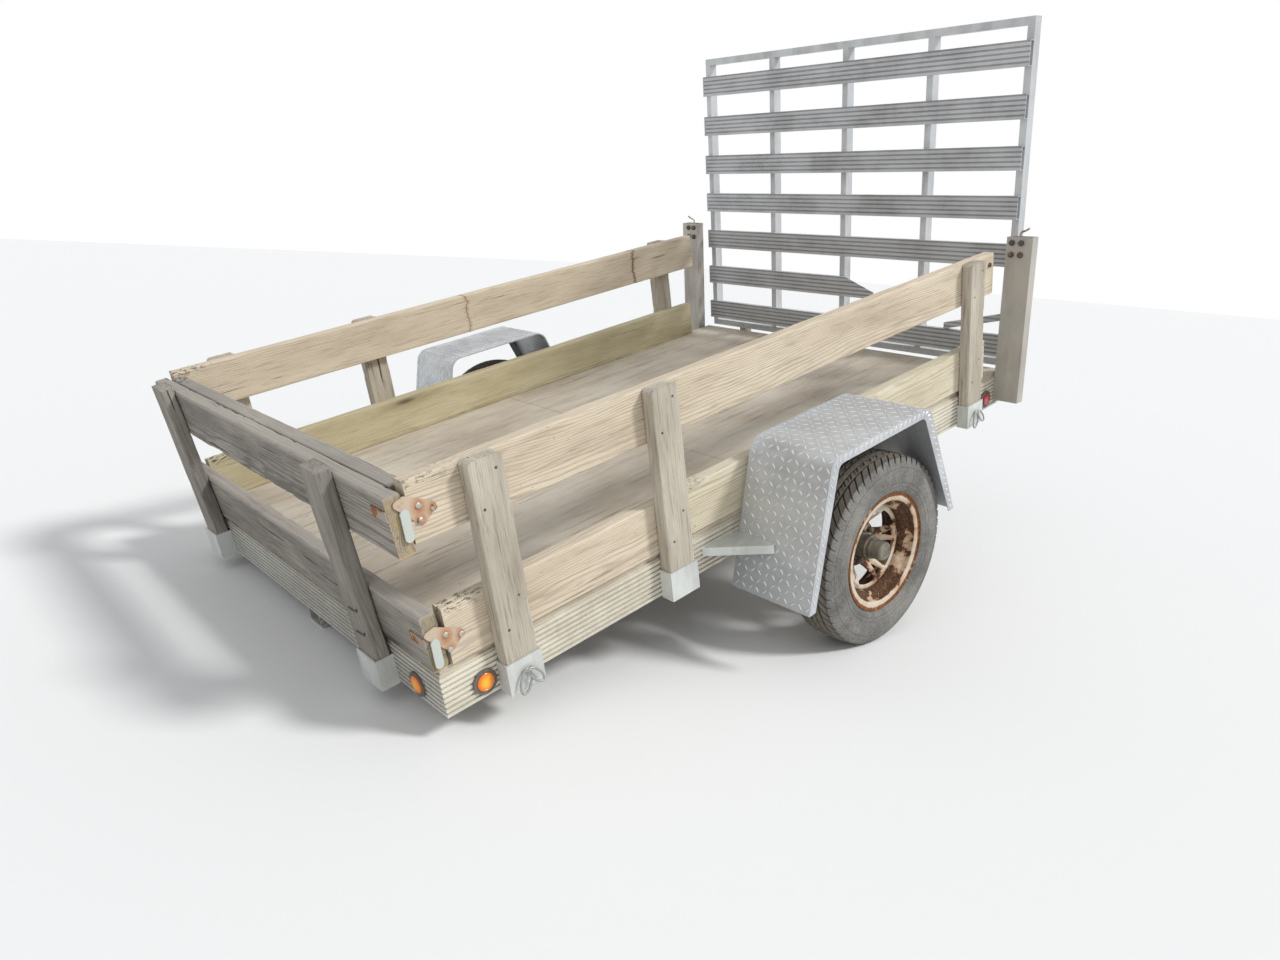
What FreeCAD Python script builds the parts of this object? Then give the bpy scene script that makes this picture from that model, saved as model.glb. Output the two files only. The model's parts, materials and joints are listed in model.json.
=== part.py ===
import FreeCAD, Part
import math
import os
import re

import Sketcher

# Utility trailer with a ramp gate.
# Every piece is drawn on the level trailer: X to its left side, Y rearward from the
# front rail's face, Z up from the top of the rails. One placement then tips the level
# trailer onto its two tyres and the cut end of its drawbar, as it stands without a tongue.

doc = FreeCAD.newDocument("utility_trailer")
sheet = doc.addObject("Spreadsheet::Sheet", "sizes")

# Driving sizes in millimetres and degrees.
SIZES = (
    # frame
    ("frame_width", 1500),
    ("frame_length", 2400),
    ("rail_height", 106),
    ("rail_flange", 45),
    ("rail_wall", 4),
    ("rib_depth", 4),
    ("rib_share", 0.62),
    ("seam_gap", 0.3),
    ("cut_past", 1),
    ("cross_width", 50),
    ("cross_wall", 4),
    ("drawbar_width", 76),
    ("drawbar_height", 62),
    ("drawbar_wall", 4),
    ("drawbar_rib", 3),
    ("drawbar_cut", 12),
    ("deck_thickness", 12),
    ("deck_inset", 10),
    ("deck_seam", 2),
    # timber
    ("timber_edge", 3),
    ("stake_width", 88),
    ("stake_depth", 38),
    ("stake_top", 456),
    ("stake_foot", 104),
    ("stake_bevel", 8),
    ("front_stake_at", 145),
    ("middle_stake_ahead", 346),
    ("rear_stake_back", 315),
    ("board_depth", 38),
    ("board_height", 140),
    ("upper_board_at", 315),
    ("lower_board_start", 40),
    ("upper_board_start", 20),
    ("upper_board_back", 110),
    ("lower_board_back", 150),
    ("board_joint_in", 37),
    ("newer_board_rise", 6),
    ("rack_lean_degrees", 3),
    ("rack_left_stake_in", 310),
    ("rack_right_stake_in", 205),
    ("rack_lower_at", 16),
    ("rack_upper_at", 296),
    ("doubler_inset", 42),
    # stake pockets
    ("pocket_wall", 4),
    ("pocket_top", 31),
    ("pocket_foot", 112),
    ("pocket_play", 5),
    # rear posts
    ("post_width", 92),
    ("post_depth", 40),
    ("post_wall", 4),
    ("post_back", 66),
    ("post_top", 493),
    ("post_foot", 86),
    ("post_lean_degrees", 5),
    # ramp gate
    ("gate_gap", 6),
    ("gate_lean_degrees", 3.6),
    ("gate_back", 10),
    ("gate_top", 1174),
    ("gate_foot", 8),
    ("gate_tube_width", 25),
    ("gate_tube_depth", 40),
    ("gate_tube_wall", 2.5),
    ("gate_inner_spacing", 368),
    ("slat_height", 79),
    ("slat_depth", 22),
    ("slat_wall", 2.5),
    ("slat_rib", 2),
    ("slat_pitch", 163),
    ("slat_first_at", 46),
    ("tear_start", 30),
    ("tear_end", 170),
    ("tear_rise", 26),
    ("fallen_start", 490),
    ("fallen_rise", 58),
    ("fallen_height", 24),
    # gate hinges
    ("hinge_pin_radius", 7),
    ("hinge_play", 0.08),
    ("hinge_back", 38),
    ("hinge_drop", 20),
    ("hinge_spacing", 560),
    ("hinge_ear", 6),
    ("hinge_strap", 34),
    ("hinge_side_play", 1),
    ("hinge_wall", 8),
    # running gear
    ("axle_at", 1280),
    ("axle_drop", 177),
    ("axle_tube", 60),
    ("axle_wall", 5),
    ("arm_run", 120),
    ("arm_width", 44),
    ("arm_thickness", 18),
    ("wheel_clearance", 120),
    ("tyre_radius", 281),
    ("tyre_width", 142),
    ("tyre_wall_low", 190),
    ("tyre_wall_high", 252),
    ("tread_width", 116),
    ("rim_width", 118),
    ("rim_radius", 152),
    ("rim_wall", 4),
    ("rim_lip", 23),
    ("disc_inset", 36),
    ("disc_pad", 8),
    ("disc_weld", 1),
    ("ring_at", 7),
    ("ring_inner", 118),
    ("ring_thickness", 5),
    ("spoke_width", 46),
    ("spoke_sheet", 6),
    ("spoke_lap", 6),
    ("window_inner", 76),
    ("window_outer", 106),
    ("window_width", 24),
    ("spindle_radius", 16),
    ("spindle_play", 0.08),
    ("spindle_past", 30),
    ("hub_radius", 38),
    ("hub_back", 100),
    ("hub_wall", 6),
    ("hub_flange_radius", 62),
    ("hub_flange", 10),
    ("nose_radius", 36),
    ("nose_length", 46),
    ("nose_play", 5),
    ("cap_radius", 28),
    ("cap_length", 95),
    # fenders
    ("fender_gap", 15),
    ("fender_cover", 23),
    ("fender_headroom", 112),
    ("fender_front_foot_out", 107),
    ("fender_front_top_in", 10),
    ("fender_rear_top_in", 115),
    ("fender_rear_foot_out", 21),
    ("fender_front_foot", 186),
    ("fender_rear_foot", 150),
    ("fender_sheet", 4),
    ("fender_lip", 26),
    ("fender_corner", 50),
    ("gusset_reach", 95),
    ("gusset_length", 140),
    ("gusset_drop", 37),
    ("gusset_wall", 4),
    ("gusset_rib", 3),
    ("gusset_rib_width", 8),
    # lamps
    ("lamp_radius", 22),
    ("lamp_depth", 9),
    ("grommet_radius", 31),
    ("grommet_depth", 5),
    ("side_lamp_at", 104),
    ("front_left_lamp_in", 114),
    ("front_right_lamp_in", 60),
    ("lamp_rise", 40),
    ("rear_lamp_back", 130),
    # corner latches
    ("latch_at", 38),
    ("latch_upper", 396),
    ("latch_lower", 93),
    ("latch_plate", 3),
    ("latch_corner", 9),
    ("latch_tab", 4),
    ("latch_tab_width", 20),
    ("latch_tab_corner", 9.5),
    ("latch_hook_length", 60),
    ("latch_hook_width", 24),
)

# Counts that no length fixes.
RAIL_RIBS = 8
DRAWBAR_RIBS = 4
SLAT_RIBS = 5
SLATS = 7
TORN_SLAT = 1
CROSSMEMBERS = 5
RIM_SPOKES = 5
GUSSET_RIBS = 4

ALIASES = set()
for row, (alias, number) in enumerate(SIZES, start=1):
    sheet.set(f"A{row}", alias)
    sheet.set(f"B{row}", str(number))
    sheet.setAlias(f"B{row}", alias)
    ALIASES.add(alias)
doc.recompute()


def bind(text):
    """Expression with every size name read from the sheet."""
    return re.sub(r"[a-z_]+", lambda word: "sizes." + word[0] if word[0] in ALIASES else word[0], str(text))


def value(text):
    """Number that an expression in size names gives."""
    return float(sheet.evalExpression(str(text)))


def add_size(alias, number):
    """One more cell, for a value that the driving sizes fix."""
    row = len(ALIASES) + 1
    sheet.set(f"A{row}", alias)
    sheet.set(f"B{row}", repr(float(number)))
    sheet.setAlias(f"B{row}", alias)
    ALIASES.add(alias)
    doc.recompute()


def rest_pitch():
    """Pitch at which the tyres and the drawbar's lower front edge touch one level floor."""
    reach = value("axle_at - drawbar_cut")
    drop = value("axle_drop - rail_height - drawbar_height")
    radius = value("tyre_radius")
    return math.degrees(math.asin(radius / math.hypot(reach, drop)) + math.atan2(drop, reach))


add_size("pitch", rest_pitch())
add_size("ground_z", value("(rail_height + drawbar_height) * cos(pitch) - drawbar_cut * sin(pitch)"))
add_size("ground_y", 0)


def seat(piece, across="0", along="0", height="0", lean="0"):
    """Sets a piece drawn about a point of the level trailer down at the rest pitch."""
    piece.Placement = FreeCAD.Placement(FreeCAD.Vector(), FreeCAD.Rotation(FreeCAD.Vector(1, 0, 0), 1))
    piece.setExpression("Placement.Base.x", bind(across))
    turned_y = f"({along}) * cos(pitch) - ({height}) * sin(pitch) + ground_y"
    turned_z = f"({along}) * sin(pitch) + ({height}) * cos(pitch) + ground_z"
    piece.setExpression("Placement.Base.y", bind(turned_y))
    piece.setExpression("Placement.Base.z", bind(turned_z))
    piece.setExpression("Placement.Rotation.Angle", bind(f"pitch + ({lean})"))
    return piece


def new_body(name):
    piece = doc.addObject("PartDesign::Body", name)
    piece.Label = name
    return piece


# Sketches: a loop is ("circle", across, up, radius) or corners (across, up) or (across, up, fillet)
def draw(piece, plane, offset, loops):
    """Sketch on one origin plane of the body, moved along its normal, every corner bound."""
    sketch = piece.newObject("Sketcher::SketchObject", "outline")
    role = f"{plane}_Plane"
    support = [feature for feature in piece.Origin.OriginFeatures if feature.Role == role][0]
    sketch.AttachmentSupport = [(support, "")]
    sketch.MapMode = "FlatFace"
    sketch.setExpression("AttachmentOffset.Base.z", bind(offset))
    for corners in loops:
        if corners[0] == "circle":
            draw_circle(sketch, *corners[1:])
        else:
            draw_polygon(sketch, corners)
    return sketch


def constrain(sketch, rows):
    """Adds dimensions in one go, each row with the constraint's terms and the expression it follows."""
    indices = sketch.addConstraint([Sketcher.Constraint(*terms, value(text)) for terms, text in rows])
    for index, (terms, text) in zip(indices, rows):
        sketch.setExpression(f"Constraints[{index}]", bind(text))


def draw_circle(sketch, across, up, radius):
    first = sketch.GeometryCount
    centre = FreeCAD.Vector(value(across), value(up), 0)
    sketch.addGeometry(Part.Circle(centre, FreeCAD.Vector(0, 0, 1), value(radius)), False)
    constrain(sketch, [
        (("DistanceX", -1, 1, first, 3), across),
        (("DistanceY", -1, 1, first, 3), up),
        (("Radius", first), radius),
    ])


def draw_polygon(sketch, corners):
    first = sketch.GeometryCount
    points = [FreeCAD.Vector(value(corner[0]), value(corner[1]), 0) for corner in corners]
    size = len(points)
    lines = [Part.LineSegment(points[i], points[(i + 1) % size]) for i in range(size)]
    sketch.addGeometry(lines, False)
    joins = [Sketcher.Constraint("Coincident", first + i, 2, first + (i + 1) % size, 1) for i in range(size)]
    sketch.addConstraint(joins)
    rows = []
    for i, corner in enumerate(corners):
        rows.append((("DistanceX", -1, 1, first + i, 1), corner[0]))
        rows.append((("DistanceY", -1, 1, first + i, 1), corner[1]))
    constrain(sketch, rows)
    for i, corner in enumerate(corners):
        if len(corner) == 3:
            round_corner(sketch, first, points, i, corner[2])


def round_corner(sketch, first, points, i, radius):
    """Arc tangent to the two lines that meet at one corner."""
    size = len(points)
    here = points[i]
    before = here + (points[i - 1] - here) / 2
    after = here + (points[(i + 1) % size] - here) / 2
    sketch.fillet(first + (i - 1) % size, first + i, before, after, value(radius), True, True)
    arc = sketch.GeometryCount - 2
    constrain(sketch, [(("Radius", arc), radius)])


def rectangle(left, low, right, high):
    return ((left, low), (right, low), (right, high), (left, high))


def timber(left, low, right, high):
    """Section of a plank with eased edges."""
    edge = "timber_edge"
    return (
        (f"{left} + {edge}", low), (f"{right} - {edge}", low), (right, f"{low} + {edge}"),
        (right, f"{high} - {edge}"), (f"{right} - {edge}", high), (f"{left} + {edge}", high),
        (left, f"{high} - {edge}"), (left, f"{low} + {edge}"),
    )


def ribbed_face(crest, root, low, high, count):
    """Corners up a face with square ribs, the first with its crest at the low edge."""
    pitch = f"({high} - ({low})) / {count}"
    corners = []
    for i in range(count):
        if i > 0:
            corners.append((root, f"{low} + {i} * {pitch}"))
        corners.append((crest, f"{low} + {i} * {pitch}"))
        corners.append((crest, f"{low} + ({i} + rib_share) * {pitch}"))
        corners.append((root, f"{low} + ({i} + rib_share) * {pitch}"))
    return corners


def pad(piece, plane, start, length, loops, name="pad"):
    """Prism from start to start plus length along the plane's positive axis."""
    offset = f"-(({start}) + ({length}))" if plane == "XZ" else start
    feature = piece.newObject("PartDesign::Pad", name)
    feature.Profile = draw(piece, plane, offset, loops)
    feature.setExpression("Length", bind(length))
    return feature


def cut(piece, plane, start, length, loops, name="cut"):
    """Pocket from start to start plus length along the plane's positive axis."""
    offset = f"-({start})" if plane == "XZ" else f"({start}) + ({length})"
    doc.recompute()
    before = piece.Shape.Volume
    feature = piece.newObject("PartDesign::Pocket", name)
    feature.Profile = draw(piece, plane, offset, loops)
    feature.setExpression("Length", bind(length))
    doc.recompute()
    if piece.Shape.Volume >= before:
        raise ValueError(f"{piece.Label}: {name} removes nothing")
    return feature


def revolve(piece, loops, name="turned"):
    """Solid of revolution about the body's X axis from an outline in its XY plane."""
    feature = piece.newObject("PartDesign::Revolution", name)
    profile = draw(piece, "XY", "0", loops)
    feature.Profile = profile
    feature.ReferenceAxis = (profile, ["H_Axis"])
    feature.Angle = 360
    return feature


def repeat_about_axis(piece, features, count):
    """Copies of features, evenly spaced about the body's X axis."""
    pattern = piece.newObject("PartDesign::PolarPattern", "pattern")
    pattern.Originals = features
    axis = [feature for feature in piece.Origin.OriginFeatures if feature.Role == "X_Axis"][0]
    pattern.Axis = (axis, [""])
    pattern.Angle = 360
    pattern.Occurrences = count


def span(sign, near, far):
    """Start and length along X of what lies between two distances out from the middle."""
    start = near if sign > 0 else f"-({far})"
    return start, f"({far}) - ({near})"


def mirrored(sign, corners):
    """Outline drawn for the left side, for the side of that sign."""
    if sign > 0:
        return tuple(corners)
    return tuple((f"-({corner[0]})",) + tuple(corner[1:]) for corner in reversed(corners))


SIDES = (("left", 1), ("right", -1))
HALF = "frame_width / 2"


# Ribbed rails
def rail_section(outer):
    """Channel with square ribs on its outer face; outer is the crest of the ribs."""
    root = f"{outer} - rib_depth"
    inner = f"{root} - rail_wall"
    edge = f"{outer} - rail_flange"
    return tuple(ribbed_face(outer, root, "-rail_height", "0", RAIL_RIBS)) + (
        (root, "0"), (edge, "0"), (edge, "-rail_wall"), (inner, "-rail_wall"),
        (inner, "rail_wall - rail_height"), (edge, "rail_wall - rail_height"), (edge, "-rail_height"),
    )


def cut_mitres(piece, loops):
    cut(piece, "XY", "-rail_height - cut_past", "rail_height + 2 * cut_past", loops, "mitres")


def side_rail(side, sign):
    """Rail along one side, mitred where the end rails meet it."""
    piece = new_body(f"rail_{side}")
    pad(piece, "XZ", "0", "frame_length", [mirrored(sign, rail_section(HALF))])
    inside = f"{HALF} - rail_flange"
    far = "frame_length"
    outside = f"{HALF} + cut_past"
    front = mirrored(sign, ((inside, "-cut_past"), (outside, "-cut_past"), (inside, "rail_flange")))
    rear = mirrored(sign, (
        (inside, f"{far} - rail_flange"), (outside, f"{far} + cut_past"), (inside, f"{far} + cut_past"),
    ))
    cut_mitres(piece, [front, rear])
    return seat(piece)


def end_rail(name, base, sign):
    """Rail across one end: the sign is minus one at the front and one at the rear."""
    piece = new_body(name)
    section = [(f"{base} + {sign} * ({across})", up) for across, up in rail_section("0")]
    pad(piece, "YZ", f"-{HALF}", "frame_width", [tuple(section)])
    near = f"{base} + {sign} * (cut_past + seam_gap)"
    far = f"{base} - {sign} * (rail_flange + cut_past - seam_gap)"
    loops = []
    for side in (1, -1):
        corner = f"{side} * ({HALF} + cut_past)"
        loops.append(((corner, near), (f"{side} * ({HALF} - rail_flange - cut_past)", far), (corner, far)))
    cut_mitres(piece, loops)
    return seat(piece)


for side, sign in SIDES:
    side_rail(side, sign)
end_rail("rail_front", "0", -1)
end_rail("rail_rear", "frame_length", 1)


# Frame under the deck
def crossmembers():
    """Channels between the side rails' webs and flanges."""
    piece = new_body("crossmembers")
    reach = f"{HALF} - rib_depth - rail_wall - seam_gap"
    top = "-rail_wall - seam_gap"
    foot = "rail_wall + seam_gap - rail_height"
    loops = []
    for i in range(CROSSMEMBERS):
        near = f"frame_length * {i + 1} / {CROSSMEMBERS + 1} - cross_width / 2"
        far = f"{near} + cross_width"
        loops.append((
            (near, top), (near, foot), (far, foot), (far, f"{foot} + cross_wall"),
            (f"{near} + cross_wall", f"{foot} + cross_wall"), (f"{near} + cross_wall", f"{top} - cross_wall"),
            (far, f"{top} - cross_wall"), (far, top),
        ))
    pad(piece, "YZ", f"-({reach})", f"2 * ({reach})", loops)
    return seat(piece)


AXLE_TUBE = "axle_at - arm_run"


def drawbar():
    """Tail of the sawn-off tongue, a ribbed tube from the front rail back to the axle tube."""
    piece = new_body("drawbar_stub")
    top = "-rail_height"
    foot = f"{top} - drawbar_height"
    crest = "drawbar_width / 2"
    root = f"{crest} - drawbar_rib"
    face = tuple(ribbed_face(crest, root, foot, top, DRAWBAR_RIBS)) + ((root, top),)
    inner = rectangle(f"drawbar_wall - ({root})", f"{foot} + drawbar_wall",
                      f"{root} - drawbar_wall", f"{top} - drawbar_wall")
    length = f"{AXLE_TUBE} - axle_tube / 2 - seam_gap - drawbar_cut"
    pad(piece, "XZ", "drawbar_cut", length, [face + mirrored(-1, face), inner])
    return seat(piece)


def deck():
    """Two plywood sheets on the rails."""
    piece = new_body("deck")
    side = f"{HALF} - deck_inset"
    middle = "frame_length / 2"
    sheets = [
        rectangle(f"-({side})", "deck_inset", side, f"{middle} - deck_seam / 2"),
        rectangle(f"-({side})", f"{middle} + deck_seam / 2", side, "frame_length - deck_inset"),
    ]
    pad(piece, "XY", "0", "deck_thickness", sheets)
    return seat(piece)


crossmembers()
drawbar()
deck()

# Stakes, pockets and boards
MIDDLE_STAKE = "axle_at - tyre_radius - middle_stake_ahead"
STAKES = ("front_stake_at", MIDDLE_STAKE, "frame_length - rear_stake_back")
RACK_STAKES = ((f"{HALF} - rack_left_stake_in", 1), (f"{HALF} - rack_right_stake_in", -1))


def stake_bevels(at, top):
    """Corners cut off the top of a stake that is drawn in front or side view."""
    end = f"{at} + stake_width"
    low = f"{top} - stake_bevel"
    above = f"{top} + cut_past"
    before = f"{at} - cut_past"
    after = f"{end} + cut_past"
    below = f"{low} - cut_past"
    return [
        ((before, below), (f"{at} + stake_bevel + cut_past", above), (before, above)),
        ((after, below), (after, above), (f"{end} - stake_bevel - cut_past", above)),
    ]


def side_stakes(side, sign):
    """Two-by-fours in the pockets of one side."""
    piece = new_body(f"stakes_{side}")
    sections = []
    bevels = []
    for at in STAKES:
        section = timber(HALF, at, f"{HALF} + stake_depth", f"{at} + stake_width")
        sections.append(mirrored(sign, section))
        bevels += stake_bevels(at, "stake_top")
    pad(piece, "XY", "-stake_foot", "stake_foot + stake_top", sections)
    cut(piece, "YZ", *span(sign, f"{HALF} - cut_past", f"{HALF} + stake_depth + cut_past"), bevels, "bevels")
    return seat(piece)


def rack_stakes():
    """The front rack's two stakes, in the frame that leans with the rack."""
    piece = new_body("stakes_front")
    base = "rail_height - stake_foot"
    top = "rail_height + stake_top"
    sections = []
    bevels = []
    for at, sign in RACK_STAKES:
        section = timber(at, "-stake_depth", f"{at} + stake_width", "-seam_gap")
        sections.append(mirrored(sign, section))
        bevels += [mirrored(sign, bevel) for bevel in stake_bevels(at, top)]
    pad(piece, "XY", base, f"{top} - ({base})", sections)
    cut(piece, "XZ", "-stake_depth - cut_past", "stake_depth + 2 * cut_past", bevels, "bevels")
    return rack_piece(piece)


def strap(low, high, near, far):
    """Folded strap round three sides of a stake, open towards the rail."""
    wall = "pocket_wall"
    return (
        (near, f"{low} - {wall}"), (f"{far} + {wall}", f"{low} - {wall}"), (f"{far} + {wall}", f"{high} + {wall}"),
        (near, f"{high} + {wall}"), (near, high), (far, high), (far, low), (near, low),
    )


def side_pockets(side, sign):
    piece = new_body(f"pockets_{side}")
    loops = []
    for at in STAKES:
        loop = strap(f"{at} - seam_gap", f"{at} + stake_width + seam_gap", HALF, f"{HALF} + stake_depth + seam_gap")
        loops.append(mirrored(sign, loop))
    pad(piece, "XY", "-pocket_foot", "pocket_foot - pocket_top", loops)
    return seat(piece)


def rack_pockets():
    """Pockets on the front rail, deep enough for the lean of their stakes."""
    piece = new_body("pockets_front")
    loops = []
    for at, sign in RACK_STAKES:
        loop = strap(f"{at} - seam_gap", f"{at} + stake_width + seam_gap", "0", "stake_depth + pocket_play")
        loops.append(mirrored(sign, [(across, f"-({along})") for along, across in loop]))
    pad(piece, "XY", "-pocket_foot", "pocket_foot - pocket_top", loops)
    return seat(piece)


def rack_piece(piece):
    """Seats a piece of the front rack, which leans forward about the front rail's foot."""
    return seat(piece, "0", "0", "-rail_height", "rack_lean_degrees")


def side_board(name, sign, near, far, low):
    """Plank on edge along one side, flush with the rail's face."""
    piece = new_body(name)
    section = timber(f"{HALF} - board_depth", low, HALF, f"{low} + board_height")
    pad(piece, "XZ", near, f"{far} - ({near})", [mirrored(sign, section)])
    return seat(piece)


def rack_board(name, low, near, half):
    """Plank on edge across the front, behind the rack's stakes."""
    piece = new_body(name)
    section = timber(near, f"rail_height + {low}", f"{near} + board_depth", f"rail_height + {low} + board_height")
    pad(piece, "YZ", f"-({half})", f"2 * ({half})", [section])
    return rack_piece(piece)


UPPER_END = "frame_length - upper_board_back"
LOWER_END = "frame_length - lower_board_back"
BOARD_JOINT = f"{MIDDLE_STAKE} + board_joint_in"
for side, sign in SIDES:
    side_stakes(side, sign)
    side_pockets(side, sign)
    side_board(f"board_{side}_upper", sign, "upper_board_start", UPPER_END, "upper_board_at")
side_board("board_left_lower_front", 1, "lower_board_start", BOARD_JOINT, "deck_thickness")
side_board("board_left_lower_rear", 1, f"{BOARD_JOINT} + deck_seam", LOWER_END, "deck_thickness + newer_board_rise")
side_board("board_right_lower", -1, "lower_board_start", LOWER_END, "deck_thickness")
rack_stakes()
rack_pockets()
rack_board("board_front_upper", "rack_upper_at", "seam_gap", HALF)
rack_board("board_front_doubler", "rack_upper_at", "board_depth + 2 * seam_gap", f"{HALF} - doubler_inset")
rack_board("board_front_lower", "rack_lower_at", "seam_gap", HALF)


# Rear posts
def post(side, sign):
    """Wide tube beside the gate, leaning back from its foot."""
    piece = new_body(f"post_{side}")
    outer = rectangle(HALF, "0", f"{HALF} + post_width", "post_depth")
    inner = rectangle(f"{HALF} + post_wall", "post_wall", f"{HALF} + post_width - post_wall", "post_depth - post_wall")
    pad(piece, "XY", "-post_foot", "post_foot + post_top", [mirrored(sign, outer), mirrored(sign, inner)])
    return seat(piece, "0", "frame_length - post_back", "0", "-post_lean_degrees")


for side, sign in SIDES:
    post(side, sign)

# Ramp gate, drawn about its hinge pin
GATE_HALF = f"{HALF} - gate_gap"
HINGE = ("0", "frame_length + hinge_back", "-hinge_drop")
FACE = "gate_back + slat_depth - hinge_back"
GATE_LOW = "hinge_drop + gate_foot"
GATE_HIGH = "hinge_drop + gate_top"


def gate_piece(piece):
    return seat(piece, *HINGE, "-gate_lean_degrees")


def hollow(left, low, right, high):
    """Outer and inner outline of the gate's tube."""
    wall = "gate_tube_wall"
    inner = rectangle(f"{left} + {wall}", f"{low} + {wall}", f"{right} - {wall}", f"{high} - {wall}")
    return [rectangle(left, low, right, high), inner]


def gate_frame():
    """Top and bottom tube and the five uprights between them."""
    piece = new_body("gate_frame")
    back = f"{FACE} + gate_tube_depth"
    for low in (GATE_LOW, f"{GATE_HIGH} - gate_tube_width"):
        pad(piece, "YZ", f"-({GATE_HALF})", f"2 * ({GATE_HALF})", hollow(FACE, low, back, f"{low} + gate_tube_width"))
    outer = f"{GATE_HALF} - gate_tube_width / 2"
    sections = []
    for middle in (f"-({outer})", "-gate_inner_spacing", "0", "gate_inner_spacing", outer):
        sections += hollow(f"{middle} - gate_tube_width / 2", FACE, f"{middle} + gate_tube_width / 2", back)
    foot = f"{GATE_LOW} + gate_tube_width"
    pad(piece, "XY", foot, f"{GATE_HIGH} - gate_tube_width - ({foot})", sections)
    return gate_piece(piece)


def slat_section(number):
    """Shallow channel with ribs along its front."""
    low = f"hinge_drop + slat_first_at + {number} * slat_pitch"
    high = f"{low} + slat_height"
    crest = f"{FACE} - slat_depth"
    root = f"{crest} + slat_rib"
    inner = f"{root} + slat_wall"
    return tuple(ribbed_face(crest, root, low, high, SLAT_RIBS)) + (
        (root, high), (FACE, high), (FACE, f"{high} - slat_wall"), (inner, f"{high} - slat_wall"),
        (inner, f"{low} + slat_wall"), (FACE, f"{low} + slat_wall"), (FACE, low),
    )


def gate_slats():
    piece = new_body("gate_slats")
    for number in range(SLATS):
        if number != TORN_SLAT:
            pad(piece, "YZ", f"-({GATE_HALF})", f"2 * ({GATE_HALF})", [slat_section(number)])
    return gate_piece(piece)


def gate_slat_bent():
    """The torn slat: its right part still fixed, its left end fallen on the slat below."""
    piece = new_body("gate_slat_bent")
    low = f"hinge_drop + slat_first_at + {TORN_SLAT} * slat_pitch"
    high = f"{low} + slat_height"
    pad(piece, "YZ", f"-({GATE_HALF})", f"{GATE_HALF} + tear_end", [slat_section(TORN_SLAT)])
    above = f"{high} + cut_past"
    beyond = "tear_end + cut_past"
    tear = (("tear_start", above), (beyond, f"{low} + tear_rise"), (beyond, above))
    cut(piece, "XZ", f"{FACE} - slat_depth - cut_past", "slat_depth + 2 * cut_past", [tear], "tear")
    rest = f"hinge_drop + slat_first_at + ({TORN_SLAT} - 1) * slat_pitch + slat_height + seam_gap"
    end = f"{GATE_HALF} - gate_tube_width / 2"
    fallen = (
        ("fallen_start", rest), (end, f"{rest} + fallen_rise"),
        (end, f"{rest} + fallen_rise + fallen_height"), ("fallen_start", f"{rest} + fallen_height"),
    )
    pad(piece, "XZ", f"{FACE} - slat_depth", "slat_depth", [fallen])
    return gate_piece(piece)


HINGES = ("-hinge_spacing", "0", "hinge_spacing")
EYE = "hinge_pin_radius + hinge_wall"


def hinge_straps():
    """Straps under the gate's lower tube, each with an eye round its pin."""
    piece = new_body("gate_hinge_straps")
    strap_outline = rectangle(FACE, "0", f"{FACE} + gate_tube_depth", GATE_LOW)
    for middle in HINGES:
        start = f"{middle} - hinge_strap / 2"
        pad(piece, "YZ", start, "hinge_strap", [strap_outline])
        pad(piece, "YZ", start, "hinge_strap", [("circle", "0", "0", EYE)])
    reach = "hinge_spacing + hinge_strap"
    cut(piece, "YZ", f"-({reach})", f"2 * ({reach})", [("circle", "0", "0", "hinge_pin_radius + hinge_play")])
    return gate_piece(piece)


def hinge_ears():
    """Pairs of ears on the rear rail, each pair with its pin."""
    piece = new_body("gate_hinges")
    inner = "hinge_strap / 2 + hinge_side_play"
    ear = rectangle("-hinge_back", f"-({EYE})", "0", EYE)
    for middle in HINGES:
        for start in (f"{middle} + {inner}", f"{middle} - ({inner}) - hinge_ear"):
            pad(piece, "YZ", start, "hinge_ear", [ear])
            pad(piece, "YZ", start, "hinge_ear", [("circle", "0", "0", EYE)])
        pin = ("circle", "0", "0", "hinge_pin_radius")
        pad(piece, "YZ", f"{middle} - ({inner})", f"2 * ({inner})", [pin])
    return seat(piece, *HINGE)


gate_frame()
gate_slats()
gate_slat_bent()
hinge_straps()
hinge_ears()

# Running gear: the wheels' places follow from the frame's width and the tyre
TYRE_MIDDLE = f"{HALF} + wheel_clearance + tyre_width / 2"
DISC = f"{TYRE_MIDDLE} - disc_inset"
ARM_INNER = f"{HALF} - rail_flange / 2"


def axle():
    """Square tube across the frame, under the rails."""
    piece = new_body("axle_tube")
    half = "axle_tube / 2"
    middle = f"-rail_height - {half}"
    outer = rectangle(f"{AXLE_TUBE} - {half}", f"{middle} - {half}", f"{AXLE_TUBE} + {half}", f"{middle} + {half}")
    core = f"({half} - axle_wall)"
    inner = rectangle(f"{AXLE_TUBE} - {core}", f"{middle} - {core}", f"{AXLE_TUBE} + {core}", f"{middle} + {core}")
    pad(piece, "YZ", f"-({ARM_INNER})", f"2 * ({ARM_INNER})", [outer, inner])
    return seat(piece)


def torsion_arms():
    """Trailing arms from the axle tube's ends back and down to the spindles."""
    piece = new_body("torsion_arms")
    outer = f"{ARM_INNER} + arm_thickness"
    half = "arm_width / 2"
    high = "-rail_height - axle_tube / 2"
    bar = (
        (AXLE_TUBE, f"{high} - {half}"), ("axle_at", f"-axle_drop - {half}"),
        ("axle_at", f"-axle_drop + {half}"), (AXLE_TUBE, f"{high} + {half}"),
    )
    for side, sign in SIDES:
        pad(piece, "YZ", *span(sign, ARM_INNER, outer), [bar])
        pad(piece, "YZ", *span(sign, ARM_INNER, outer), [("circle", AXLE_TUBE, high, half)])
        pad(piece, "YZ", *span(sign, ARM_INNER, outer), [("circle", "axle_at", "-axle_drop", half)])
        spindle = ("circle", "axle_at", "-axle_drop", "spindle_radius")
        pad(piece, "YZ", *span(sign, outer, f"{DISC} + spindle_past"), [spindle])
    return seat(piece)


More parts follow.
